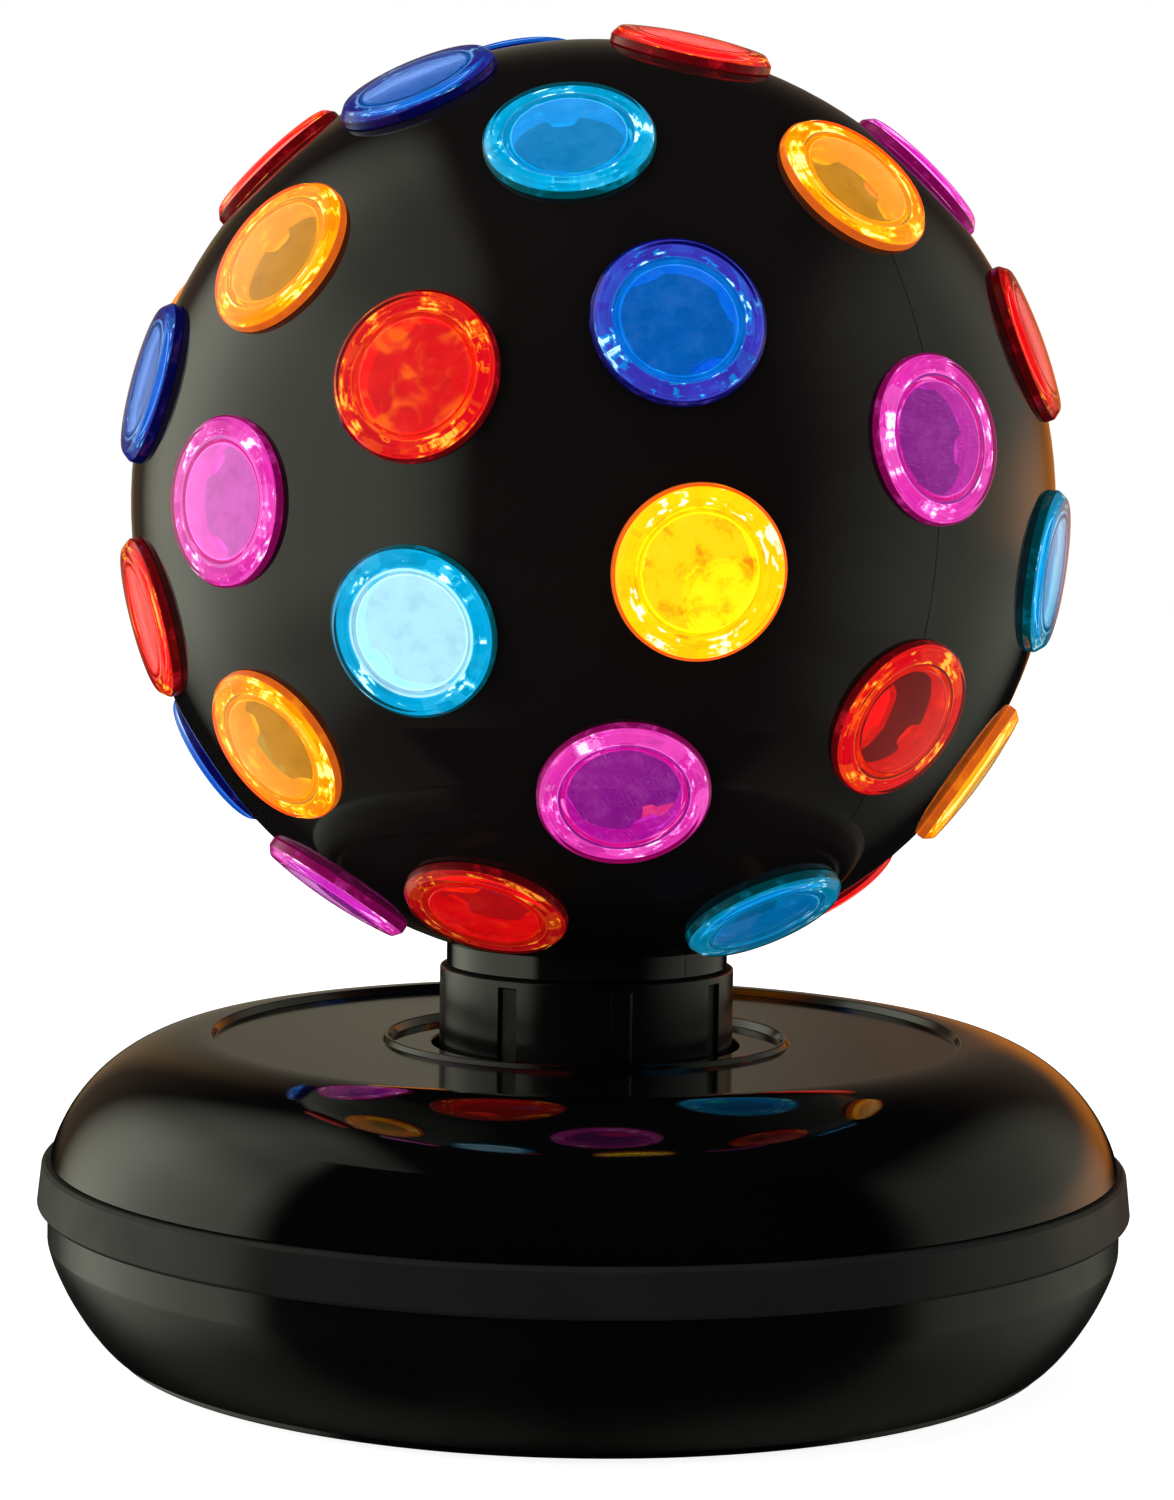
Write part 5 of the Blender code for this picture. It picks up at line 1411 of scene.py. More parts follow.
@dataclass
class Rear:
    """The rear panel with its power jack, and the switch with its rocker."""

    half_width: float = 15.7
    half_height: float = 6.2
    inner: float = 79.0
    outer: float = 81.0
    level: float = 15.5
    gap: float = 0.3
    jack_x: float = -9.5
    jack_bore: float = 2.9
    jack_bore_depth: float = 9.5
    jack_barrel: float = 4.0
    jack_half_side: float = 4.6
    jack_depth: float = 12.0
    jack_proud: float = 0.4
    jack_pin: float = 0.9
    switch_x: float = 6.0
    switch_half_width: float = 6.5
    switch_half_height: float = 4.2
    switch_depth: float = 11.0
    bezel_margin: float = 1.3
    bezel_face: float = 82.8
    well_half_width: float = 5.4
    well_half_height: float = 3.0
    well_depth: float = 5.5
    rocker_half_width: float = 4.4
    rocker_half_height: float = 2.6
    rocker_pivot: float = 80.6
    rocker_tilt: float = -8.0
    rocker_half_depth: float = 1.4
    rocker_hollow: float = 1.0
    rocker_pin: float = 0.7
    rocker_pin_hole: float = 1.0

    def build_panel(self) -> None:
        """The satin panel, with its two holes."""
        low = (-self.half_width, self.inner, self.level - self.half_height)
        high = (self.half_width, self.outer, self.level + self.half_height)
        mesh = block("back_panel", low, high)
        panel = Piece("back_panel", mesh, (SATIN_ABS,), "base", "satin_black", ("rear_panel",))
        hole = rod("hole", self.jack_barrel + self.gap, 0.0, 9.0, 48)
        panel.cut(joined("hole", [(hole, along_y(self.jack_x, self.inner - 4, self.level))]))
        wide, tall = self.switch_half_width + self.gap, self.switch_half_height + self.gap
        panel.cut(block(
            "opening", (self.switch_x - wide, self.inner - 4, self.level - tall),
            (self.switch_x + wide, self.outer + 4, self.level + tall),
        ))
        panel.soften(0.25).done()

    def build_jack(self) -> None:
        """The power jack: a block behind the panel, a barrel through it, and a bright pin in its bore."""
        back = self.inner - self.gap
        side = self.jack_half_side
        mesh = block(
            "dc_jack", (self.jack_x - side, back - self.jack_depth, self.level - side),
            (self.jack_x + side, back, self.level + side), 0.3,
        )
        finishes = (SATIN_ABS, NICKEL_BRASS)
        jack = Piece("dc_jack", mesh, finishes, "base", "satin_black", ("power_jack",))
        mouth = self.outer + self.jack_proud
        length = mouth - back + 0.5
        corners = [
            Corner(0, 0), Corner(self.jack_barrel, 0), Corner(self.jack_barrel, length, 0.35),
            Corner(0, length),
        ]
        barrel, _ = rounded(corners)
        at = along_y(self.jack_x, back - 0.5, self.level)
        jack.add(joined("barrel", [(turned("barrel", barrel, 64), at)]))
        depth = self.jack_bore_depth
        corners = [
            Corner(self.jack_bore, 0.0), Corner(self.jack_bore, depth - 0.5),
            Corner(self.jack_bore + 0.5, depth + 0.1),
            Corner(self.jack_bore + 0.5, depth + 3), Corner(0, depth + 3),
            Corner(0, depth - 1.2, 0.0, 1), Corner(self.jack_pin * 0.6, depth - 1.2, 0.0, 1),
            Corner(self.jack_pin, depth - 1.7, 0.0, 1), Corner(self.jack_pin, 0.0, 0.0, 1),
        ]
        bore, zones = rounded(corners)
        at = along_y(self.jack_x, mouth - depth, self.level)
        jack.cut(joined("bore", [(turned("bore", bore, 48, zones), at)]))
        jack.done()

    def build_switch(self) -> None:
        """The switch's body and its rounded bezel, with the well for the rocker."""
        front = self.outer + self.gap
        low = (
            self.switch_x - self.switch_half_width, self.bezel_face - self.switch_depth,
            self.level - self.switch_half_height,
        )
        high = (self.switch_x + self.switch_half_width, front + 0.5, self.level + self.switch_half_height)
        mesh = block("switch_body", low, high, 0.2)
        body = Piece("switch_body", mesh, (SATIN_ABS,), "base", "satin_black", ("switch_housing",))
        wide = self.switch_half_width + self.bezel_margin
        tall = self.switch_half_height + self.bezel_margin
        body.add(block(
            "bezel", (self.switch_x - wide, front, self.level - tall),
            (self.switch_x + wide, self.bezel_face, self.level + tall), 0.5,
        ))
        wide, tall = self.well_half_width, self.well_half_height
        body.cut(block(
            "well", (self.switch_x - wide, self.bezel_face - self.well_depth, self.level - tall),
            (self.switch_x + wide, self.bezel_face + 4, self.level + tall),
        ))
        reach = self.rocker_half_height + 1.0
        pin = rod("pin", self.rocker_pin_hole, -reach, reach, 24)
        place = Matrix.Translation(Vector((self.switch_x, self.rocker_pivot, self.level)) * MM)
        body.cut(joined("pin", [(pin, place)]))
        body.soften(0.15).done()

    def build_rocker(self) -> None:
        """The rocker: a hollowed paddle on an upright pin."""
        wide, deep = self.rocker_half_width, self.rocker_half_depth
        outline: list[Point] = [(-wide, -deep), (wide, -deep)]
        steps = 16
        for step in range(steps + 1):
            x = wide * (1 - 2 * step / steps)
            outline.append((x, deep + self.rocker_hollow * (abs(x) / wide) ** 1.5))
        mesh = extruded("rocker_paddle", outline, -self.rocker_half_height, self.rocker_half_height)
        rocker = Piece(
            "rocker_paddle", mesh, (POLISHED_ABS,), "rocker", "satin_black", ("switch_rocker",),
            Matrix.Translation(Vector((self.switch_x, self.rocker_pivot, self.level)) * MM)
            @ Matrix.Rotation(math.radians(self.rocker_tilt), 4, "Z"),
        )
        rocker.soften(0.2)
        reach = self.rocker_half_height + self.rocker_pin
        rocker.add(rod("pin", self.rocker_pin, -reach, reach, 24)).done()

    def build(self) -> None:
        """Builds all of it."""
        self.build_panel()
        self.build_jack()
        self.build_switch()
        self.build_rocker()


# Ball


@dataclass
class Collar:
    """The ribbed collar that the ball's neck plugs into."""

    radius: float = 24.2
    bore: float = 22.1
    bottom: float = 43.6
    top: float = 62.5
    rim_height: float = 1.2
    grooves: int = 8
    groove_width: float = 2.6
    groove_depth: float = 0.7
    first_longitude: float = 13.5
    edge: float = 0.5
    edge_drop: float = 0.05
    edge_turn: float = 0.85
    panel_columns: int = 12

    def columns(self) -> list[tuple[float, float]]:
        """The columns of its turned mesh.

        Returns:
            The angle of each column, and how deep the outside is cut there.
        """
        step = math.tau / self.grooves
        half = self.groove_width / 2 / self.radius
        edge = self.edge / self.radius
        found = []
        for number in range(self.grooves):
            middle = math.radians(self.first_longitude) - QUARTER + step * number
            near, drop = self.edge_turn * edge, self.edge_drop
            found += [(middle - half - edge, 0.0), (middle - half - near, drop)]
            found += [(middle - half, self.groove_depth), (middle, self.groove_depth)]
            found += [(middle + half, self.groove_depth), (middle + half + near, drop)]
            found += [(middle + half + edge, 0.0)]
            span, count = step - 2 * (half + edge), self.panel_columns
            found += [(middle + half + edge + span * n / count, 0.0) for n in range(1, count)]
        return found

    def build(self) -> None:
        """Builds it."""
        columns = self.columns()
        depth_at = dict(columns)
        zones: list[int] = []

        def section(angle: float) -> list[Point]:
            """The section at one column.

            Args:
                angle: the column's angle.

            Returns:
                (radius, height) points.
            """
            cut = self.radius - depth_at[angle]
            under_rim = self.top - self.rim_height
            corners = [
                Corner(self.bore, self.bottom), Corner(cut, self.bottom, 0.15),
                Corner(cut, under_rim - 0.25), Corner(self.radius, under_rim, 0.1),
                Corner(self.radius, self.top, 0.3), Corner(self.bore, self.top, 0.2),
            ]
            points, found = rounded(corners)
            zones[:] = found
            return points

        section(columns[0][0])
        mesh = turned("collar", section, zones=zones, angles=[angle for angle, _ in columns])
        # The grooves' floors take the darker finish: painted shade in the recesses.
        floor = (self.radius - 0.8 * self.groove_depth) * MM
        for face in mesh.polygons:
            if self.bore * MM * 1.03 < face.center.xy.length < floor:
                face.material_index = 1
        finishes = (COLLAR_ABS, SHADED_GROOVE_ABS)
        Piece("collar", mesh, finishes, "ball", "satin_black", ("ribbed_collar",)).done()


@dataclass
class Ball:
    """The ball: two half shells with a split neck, and 46 lenses."""

    radius: float = 75.0
    wall: float = 2.0
    centre: float = 138.0
    seam_longitude: float = 43.0
    seam_gap: float = 0.04
    seam_edge: float = 0.06
    crisp: float = 0.12
    neck_radius: float = 23.1
    spigot_radius: float = 21.8
    neck_bore: float = 19.2
    neck_bottom: float = 62.8
    neck_bevel: float = 0.15
    spigot_length: float = 10.0
    lens_radius: float = 12.9
    skirt_radius: float = 9.2
    skirt_wall: float = 0.6
    skirt_depth: float = 5.5
    lens_proud: float = 2.5
    rim_proud: float = 1.3
    shoulder_width: float = 1.1
    window_thickness: float = 2.8
    window_edge: float = 9.6
    inner_ring: float = 29.5
    outer_ring: float = 59.2
    inner_count: int = 6
    outer_count: int = 11
    flange_steps: tuple[float, ...] = (11.8, 10.7)
    clip_lift: float = 1.5
    clip_barb: float = 0.25
    twist_seed: int = 46
    columns: int = 84
    rings: int = 60

    def sections(self) -> tuple[list[Vector], list[Vector]]:
        """The outlines of the shell.

        Returns:
            The outer and the inner outline, from the top down, with as many points each.
        """
        low = self.neck_bottom - self.centre
        outer_end = math.pi - math.asin(self.neck_radius / self.radius)
        inside = self.radius - self.wall
        inner_end = math.pi - math.asin(self.neck_bore / inside)
        outer = []
        inner = []
        for ring in range(self.rings + 1):
            a, b = outer_end * ring / self.rings, inner_end * ring / self.rings
            outer.append(Vector((self.radius * math.sin(a), self.radius * math.cos(a))))
            inner.append(Vector((inside * math.sin(b), inside * math.cos(b))))
        outer.insert(-1, outer[-1] + (outer[-2] - outer[-1]).normalized() * self.crisp)
        inner.insert(-1, inner[-1] + (inner[-2] - inner[-1]).normalized() * self.crisp)
        last = inner[-1].y
        bottom = low - self.spigot_length
        bevel = self.neck_bevel
        ends = [
            (self.neck_radius, outer[-1].y - self.crisp), (self.neck_radius, low + bevel),
            (self.neck_radius - bevel, low), (self.spigot_radius, low), (self.spigot_radius, bottom),
        ]
        for number, end in enumerate(ends, start=1):
            outer.append(Vector(end))
            inner.append(Vector((self.neck_bore, last + (bottom - last) * number / len(ends))))
        return outer, inner

    def half_shell(self) -> Mesh:
        """One half shell without its holes.

        Returns:
            The mesh, with its pole towards +X and the ball's centre at the origin.
        """
        outer, inner = self.sections()
        loop = outer + inner[::-1]
        count = len(loop)
        middle = len(outer)
        flat = self.seam_gap / 2
        start = flat + self.seam_edge
        points = []
        steps = self.columns
        for column in range(steps + 3):
            end = column in (0, steps + 2)
            turn = math.pi * (min(max(column - 1, 0), steps) / steps - 0.5)
            for row, spot in enumerate(loop):
                along = loop[(row + 1) % count] - loop[row - 1]
                if row in (0, middle - 1, middle, count - 1):
                    along = Vector((-1 if row == count - 1 else 1, 0))
                inward = Vector((along.y, -along.x)).normalized() * self.seam_edge
                spot = spot + inward if end else spot
                across = max(spot.x, 0.0)
                x = flat if end else start + max(across - start, 0.0) * math.cos(turn)
                points.append((x, across * math.sin(turn) if across > start else 0.0, spot.y))
        faces = []
        zones = []
        for column in range(steps + 2):
            for row in range(count - 1):
                here, there = column * count + row, (column + 1) * count + row
                faces.append((here, there, there + 1, here + 1))
                zones.append(1 if row >= middle else 0)
        for column in (0, steps + 2):
            for row in range(middle - 1):
                here, other = column * count + row, column * count + count - 1 - row
                faces.append((here, here + 1, other - 1, other))
                zones.append(0)
        across_top = [(column * count, (column + 1) * count) for column in range(steps + 2)]
        for here, there in across_top:
            faces.append((here, there, there + count - 1, here + count - 1))
            zones.append(0)
        return mesh_of("half_shell", points, faces, zones)

    def directions(self) -> tuple[list[Vector], list[Vector]]:
        """The directions in which the lenses face.

        Returns:
            Those of one half, whose pole is towards +X, and those on the seam, where the neck
            takes the place of one.
        """
        own = [Vector((1, 0, 0))]
        for distance, count in ((self.inner_ring, self.inner_count), (self.outer_ring, self.outer_count)):
            own += [self.direction(distance, 360 * number / count) for number in range(count)]
        count, neck = self.outer_count, self.outer_count // 2
        bearings = [360 * (number + 0.5) / count for number in range(count) if number != neck]
        return own, [self.direction(90, bearing) for bearing in bearings]

    def direction(self, distance: float, bearing: float) -> Vector:
        """A direction at a distance from the pole +X and a bearing from the top, in degrees."""
        away, side = math.radians(distance), math.radians(bearing)
        return Vector((math.cos(away), math.sin(away) * math.sin(side), math.sin(away) * math.cos(side)))

    def build_shells(self) -> None:
        """The two half shells, with a hole for each lens."""
        own, seam = self.directions()
        whole = Piece("whole_shell", self.half_shell(), (), "ball", "")
        shade(whole.item)
        depth = self.radius - self.skirt_depth - 4
        cutter = rod("skirt_hole", self.skirt_radius + 0.3, depth, self.radius + 4, 48)
        matrices = [spot.to_track_quat("Z", "Y").to_matrix().to_4x4() for spot in own + seam]
        tools = joined("skirt_holes", [(cutter, matrix) for matrix in matrices])
        for name, node, turn in (
            ("shell_front", "ball_half_front", self.seam_longitude - 180),
            ("shell_back", "ball_half_back", self.seam_longitude),
        ):
            around = Matrix.Rotation(math.radians(turn), 4, "Z")
            place = Matrix.Translation((0, 0, self.centre * MM)) @ around
            finishes = (BALL_ABS, BALL_INSIDE_LAMPLIT)
            mesh = whole.item.data.copy()
            shell = Piece(name, mesh, finishes, "ball", "gloss_black", (node,), place)
            shell.cut(tools.copy()).done(whole.item.data)
        bpy.data.objects.remove(whole.item)

    def lens_section(self, angle: float) -> tuple[list[Point], list[int]]:
        """The section of a lens at an angle: a cap that follows the ball, and a skirt with clips.

        Args:
            angle: the angle round the lens.

        Returns:
            The section's points and zones: 0 front, 1 lit back, 2 window, 3 rim and 4 skirt.
        """
        face = self.radius + self.lens_proud
        seat = self.radius + 0.05
        inside = self.skirt_radius - self.skirt_wall
        edge = self.lens_radius - self.shoulder_width
        clip = min(max((math.cos(CLIPS * angle) - 0.55) / 0.2, 0.0), 1.0)
        end = self.radius - self.skirt_depth + self.clip_lift * (1 - clip)
        barb = self.clip_barb * clip
        corners = [Corner(0, face)]
        steps = 9
        for number in range(1, steps):
            r = edge * number / steps
            corners.append(Corner(r, math.sqrt(face**2 - r**2)))
        rim, outer = self.radius + self.rim_proud, self.lens_radius
        corners += [
            Corner(edge, math.sqrt(face**2 - edge**2), 0.9),
            Corner(outer, math.sqrt(rim**2 - outer**2), 0.5, 3),
            Corner(outer, math.sqrt(seat**2 - outer**2), 0.15, 1),
        ]
        corners += [Corner(r, math.sqrt(seat**2 - r**2), 0, 1) for r in self.flange_steps]
        corners.append(Corner(self.window_edge, math.sqrt(seat**2 - self.window_edge**2), 0, 2))
        skirt = self.skirt_radius
        corners += [
            Corner(skirt, math.sqrt(seat**2 - skirt**2), 0, 4), Corner(skirt, self.radius - 3.0, 0, 4),
            Corner(skirt + barb, self.radius - 3.4, 0, 4), Corner(skirt - 0.15, end, 0, 4),
            Corner(inside, end, 0.1, 4),
            Corner(inside, math.sqrt(face**2 - inside**2) - self.window_thickness, 0.4, 2),
            Corner(inside * 0.6, face - self.window_thickness - 0.05, 0, 2),
            Corner(0, face - self.window_thickness, 0, 2),
        ]
        return rounded(corners)

    def build_lens(self, name: str, node: str | None, tint: Tint, glow: Glow, place: Matrix) -> None:
        """One lens.

        Args:
            name: the piece's name.
            node: the CAD node that it stands for, if it has one of its own.
            tint: its colour.
            glow: how it is lit.
            place: its frame, with the ball's centre as origin and its own direction as +Z.
        """
        _, zones = self.lens_section(0.0)
        mesh = turned(name, lambda angle: self.lens_section(angle)[0], 64, zones)
        finishes = lens_finishes(tint, glow)
        nodes = (node,) if node else ()
        Piece(name, mesh, finishes, "ball", f"lens_{tint.name.lower()}", nodes, place).done()

    def build_lenses(self) -> None:
        """All the lenses, each turned by its own seeded angle about its axis."""
        red, orange, blue, cyan, magenta = Tint.RED, Tint.ORANGE, Tint.BLUE, Tint.CYAN, Tint.MAGENTA
        front = [magenta] + [orange, red, cyan, orange, red, blue]
        front += [blue, cyan, blue, orange, magenta, red, magenta, blue, cyan, orange, red]
        on_seam = [red, orange, magenta, red, cyan, orange, magenta, cyan, orange, blue]
        back = [cyan] + [blue, magenta, orange, red, blue, magenta]
        back += [blue, orange, cyan, magenta, blue, orange, red, orange, cyan, red, magenta]
        names = ["lens_pole"] + [f"lens_inner_{n}" for n in range(1, 7)]
        names += [f"lens_outer_{n}" for n in range(1, 12)]
        seam_names = [f"lens_seam_{n}" for n in range(1, 11)]
        # Some lenses, listed by name, get a hotter, dimmer, hazier or pooled painted glow.
        glows = {"lens_inner_3": Glow.HOT, "lens_outer_4": Glow.LAMP, "lens_seam_4": Glow.DIM}
        glows |= {"lens_pole": Glow.HAZY, "lens_inner_2": Glow.POOLED}
        low = ["lens_outer_1", "lens_outer_6", "lens_seam_5", "lens_inner_6"]
        glows |= dict.fromkeys(low + ["back_lens_outer_9", "back_lens_outer_10"], Glow.LOW)
        own, seam = self.directions()
        draw = random.Random(self.twist_seed)
        front_turn = Matrix.Rotation(math.radians(self.seam_longitude - 180), 4, "Z")
        back_turn = Matrix.Rotation(math.radians(self.seam_longitude), 4, "Z")
        rows = [(name, name, tint, spot, front_turn) for name, tint, spot in zip(names, front, own)]
        on_seam_rows = zip(seam_names, on_seam, seam)
        rows += [(name, name, tint, spot, front_turn) for name, tint, spot in on_seam_rows]
        back_rows = zip(names, back, own)
        rows += [(f"back_{name}", None, tint, spot, back_turn) for name, tint, spot in back_rows]
        for name, node, tint, spot, turn in rows:
            facing = spot.to_track_quat("Z", "Y").to_matrix().to_4x4()
            twist = Matrix.Rotation(draw.uniform(0, math.tau), 4, "Z")
            place = Matrix.Translation((0, 0, self.centre * MM)) @ turn @ facing @ twist
            self.build_lens(f"clear_{name}", node, tint, glows.get(name, Glow.USUAL), place)

    def build(self) -> None:
        """Builds all of it."""
        self.build_shells()
        self.build_lenses()


# Inside


@dataclass
class Inside:
    """What stands or turns inside the light."""

    stem_bore: float = 6.0
    stem_radius: float = 9.0
    column_radius: float = 12.0
    flange_radius: float = 22.0
    flange_bottom: float = 3.7
    flange_top: float = 6.2
    column_top: float = 36.0
    stem_top: float = 126.0
    window_level: float = 11.0
    window_radius: float = 3.0
    window_length: float = 16.0

    def build_stem(self) -> None:
        """The hollow lamp stem, with the window for the lead in its foot."""
        corners = [
            Corner(self.stem_bore, self.flange_bottom), Corner(self.flange_radius, self.flange_bottom, 0.3),
            Corner(self.flange_radius, self.flange_top, 0.4),
            Corner(self.column_radius, self.flange_top, 1.2),
            Corner(self.column_radius, self.column_top, 0.3), Corner(self.stem_radius, self.column_top),
            Corner(self.stem_radius, self.stem_top, 0.4), Corner(self.stem_bore, self.stem_top, 0.3),
        ]
        section, zones = rounded(corners)
        mesh = turned("stem", section, PLAIN_TURN, zones)
        stem = Piece("stem", mesh, (ACETAL,), "base", "white_plastic", ("lamp_stem",))
        window = rod("window", self.window_radius, 0.0, self.window_length)
        stem.cut(joined("window", [(window, along_y(0, 0, self.window_level))])).done()

    def dress_nodes(self) -> None:
        """The pieces whose CAD shape is kept."""
        for node, finish in {
            "glide_ring": NYLON, "led_board": SOLDER_MASK, "led_emitter": LAMP_RESIN,
            "driver_board": SOLDER_MASK, "led_lead": LEAD_PVC, "motor_lead": LEAD_PVC,
            "gear_motor": ZINC_STEEL, "motor_screw_1": ZINC_STEEL, "motor_screw_2": ZINC_STEEL,
            "drive_pinion": ACETAL, "turntable_gear": ACETAL,
        }.items():
            dress(node, finish)

    def build(self) -> None:
        """Builds all of it."""
        self.build_stem()
        self.dress_nodes()


# Studio


@dataclass
class Studio:
    """Camera, surroundings, lamps and floor."""

    camera_y: float = -570.7
    camera_z: float = 138.1
    focal_length: float = 83.51
    yaw: float = -0.0008
    pitch: float = 0.0700
    roll: float = 0.0142
    left_panel: float = 1.1
    right_panel: float = 0.47
    fill_watts: float = 6.0
    floor_side: float = 8000.0
    card_level: float = 72.0
    card_foot: float = -57.0
    card_inner: float = 92.0
    card_outer: float = 500.0
    card_flare: float = 10.0
    card_spread: float = 62.0
    card_fade: Point = (-49.0, -57.0)
    card_columns: int = 48
    floor_level: float = 0.9

    def build_camera(self) -> None:
        """The camera, at the photograph's place and angle."""
        data = bpy.data.cameras.new("photo_camera")
        data.sensor_width = 36.0
        data.lens = self.focal_length
        data.clip_start = 0.01
        data.clip_end = 50.0
        forward = Vector((
            math.sin(self.yaw) * math.cos(self.pitch), math.cos(self.yaw) * math.cos(self.pitch),
            -math.sin(self.pitch),
        ))
        right = Vector((math.cos(self.yaw), -math.sin(self.yaw), 0))
        up = right.cross(forward)
        side = right * math.cos(self.roll) + up * math.sin(self.roll)
        top = up * math.cos(self.roll) - right * math.sin(self.roll)
        item = bpy.data.objects.new("photo_camera", data)
        item.matrix_world = Matrix.Translation((0, self.camera_y * MM, self.camera_z * MM)) @ (
            Matrix((side, top, -forward)).transposed().to_4x4()
        )
        bpy.context.scene.collection.objects.link(item)
        bpy.context.scene.camera = item

    def build_world(self) -> None:
        """White to the camera and through the clear plastic, and a dark studio to the gloss.

        The gloss in the photograph mirrors pale panels at both sides, a dim brown wall behind and a
        dark room in front, so the mirrored surroundings are those.
        """
        world = bpy.data.worlds.new("studio")
        bpy.context.scene.world = world
        world.use_nodes = True
        tree = world.node_tree
        tree.nodes.clear()
        way = add_node(tree, "TexCoord").outputs["Generated"]
        parts = add_node(tree, "SeparateXYZ", None, {0: way})
        x, y, z = (parts.outputs[name] for name in "XYZ")
        sideways = add_node(tree, "Math", {"operation": "ABSOLUTE"}, {0: x})
        sideways = add_node(tree, "Math", {"operation": "MAXIMUM", 1: 0.02}, {0: sideways.outputs[0]})
        depth = add_node(tree, "Math", {"operation": "DIVIDE"}, {0: y, 1: sideways.outputs[0]})
        height = add_node(tree, "Math", {"operation": "DIVIDE"}, {0: z, 1: sideways.outputs[0]})

        def edge(value: Socket, low: float, high: float) -> Socket:
            """A smooth step from 0 at low to 1 at high."""
            settings = {"interpolation_type": "SMOOTHSTEP", "From Min": low, "From Max": high}
            return add_node(tree, "MapRange", settings, {"Value": value}).outputs[0]

        def product(*values: Socket) -> Socket:
            """The product of several values.

            Args:
                values: their sockets.

            Returns:
                The product's socket.
            """
            result = values[0]
            for value in values[1:]:
                both = {0: result, 1: value}
                result = add_node(tree, "Math", {"operation": "MULTIPLY"}, both).outputs[0]
            return result

        across, rise = depth.outputs[0], height.outputs[0]
        lowest, span = -1.2, 4.0
        ladder = add_node(
            tree, "MapRange", {"From Min": lowest, "From Max": lowest + span}, {"Value": rise}
        ).outputs[0]

        def by_rise(*rungs: Point) -> Socket:
            """A panel's level by how steeply the direction rises.

            Args:
                rungs: rises, and the level at each.

            Returns:
                The level's socket.
            """
            stops = [((at - lowest) / span, grey(value)) for at, value in rungs]
            ramp = add_node(tree, "ValToRGB", {"stops": stops}, {0: ladder})
            ramp.color_ramp.interpolation = "EASE"
            return ramp.outputs[0]

        # Two soft panels stand at the sides, the left one tall and the right one short and dimmer.
        tall = by_rise(
            (-1.05, 0.08), (-0.55, 0.5), (-0.2, 1.0), (0.5, 1.0), (1.05, 0.52), (1.7, 0.38), (2.5, 0.0)
        )
        short = by_rise(
            (-1.1, 0.2), (-0.6, 0.6), (-0.25, 1.0), (0.0, 0.95), (0.3, 0.7), (0.6, 0.66), (1.3, 0.0)
        )
        nearer = {"From Min": -0.1, "From Max": 0.5}
        nearer |= {"To Min": 0.92 * self.left_panel, "To Max": 1.3 * self.left_panel}
        level = add_node(tree, "MapRange", nearer, {"Value": across}).outputs[0]
        left = product(edge(across, -2.0, -0.65), edge(across, 1.7, 0.4), tall, level)
        right = product(edge(across, -1.0, 0.1), edge(across, 2.0, 0.6), short)
        dim = add_node(tree, "Math", {"operation": "MULTIPLY", 1: self.right_panel}, {0: right}).outputs[0]
        to_right = add_node(tree, "Math", {"operation": "GREATER_THAN", 1: 0.0}, {0: x}).outputs[0]
        panel = add_node(tree, "Mix", {"data_type": "FLOAT"}, {0: to_right, 2: left, 3: dim}).outputs[0]
        # A dim brown wall stands behind, with a warm light on it at the right.
        onward = add_node(tree, "Math", {"operation": "MAXIMUM", 1: 0.05}, {0: y}).outputs[0]
        aside = add_node(tree, "Math", {"operation": "DIVIDE"}, {0: x, 1: onward}).outputs[0]
        width = {"From Min": -0.4, "From Max": 0.4}
        place = add_node(tree, "MapRange", width, {"Value": aside}).outputs[0]
        stops = [
            (0.00, (0.10, 0.07, 0.045, 1)), (0.16, (0.26, 0.17, 0.09, 1)),
            (0.30, (0.20, 0.17, 0.12, 1)), (0.44, (0.25, 0.225, 0.165, 1)),
            (0.55, (0.20, 0.165, 0.12, 1)), (0.60, (0.15, 0.11, 0.08, 1)),
            (1.00, (0.10, 0.07, 0.05, 1)),
        ]
        wall = add_node(tree, "ValToRGB", {"stops": stops}, {0: place}).outputs[0]
        lit = product(edge(aside, 0.05, 0.20), edge(z, 0.20, 0.03))
        warm = {"data_type": "RGBA", 7: (0.62, 0.20, 0.035, 1)}
        wall = add_node(tree, "Mix", warm, {0: lit, 6: wall}).outputs[2]
        behind = product(edge(y, 0.15, 0.75), edge(z, 0.75, 0.05), edge(z, -0.12, -0.02))
        dark = {"data_type": "RGBA", 6: grey(0.004)}
        room = add_node(tree, "Mix", dark, {0: behind, 7: wall})
        pale = add_node(tree, "VectorMath", {"operation": "SCALE", 0: (1.0, 1.03, 0.83)}, {"Scale": panel})
        around = add_node(
            tree, "VectorMath", {"operation": "ADD"}, {0: room.outputs[2], 1: pale.outputs[0]}
        )
        path = add_node(tree, "LightPath").outputs
        rays = {0: path["Is Camera Ray"], 1: path["Is Transmission Ray"]}
        seen = add_node(tree, "Math", {"operation": "MAXIMUM"}, rays)
        colour = add_node(
            tree, "Mix", {"data_type": "RGBA", 7: (1, 1, 1, 1)}, {0: seen.outputs[0], 6: around.outputs[0]}
        )
        light = add_node(tree, "Background", {"Strength": 1.0}, {"Color": colour.outputs[2]})
        add_node(tree, "OutputWorld", None, {"Surface": light.outputs[0]})

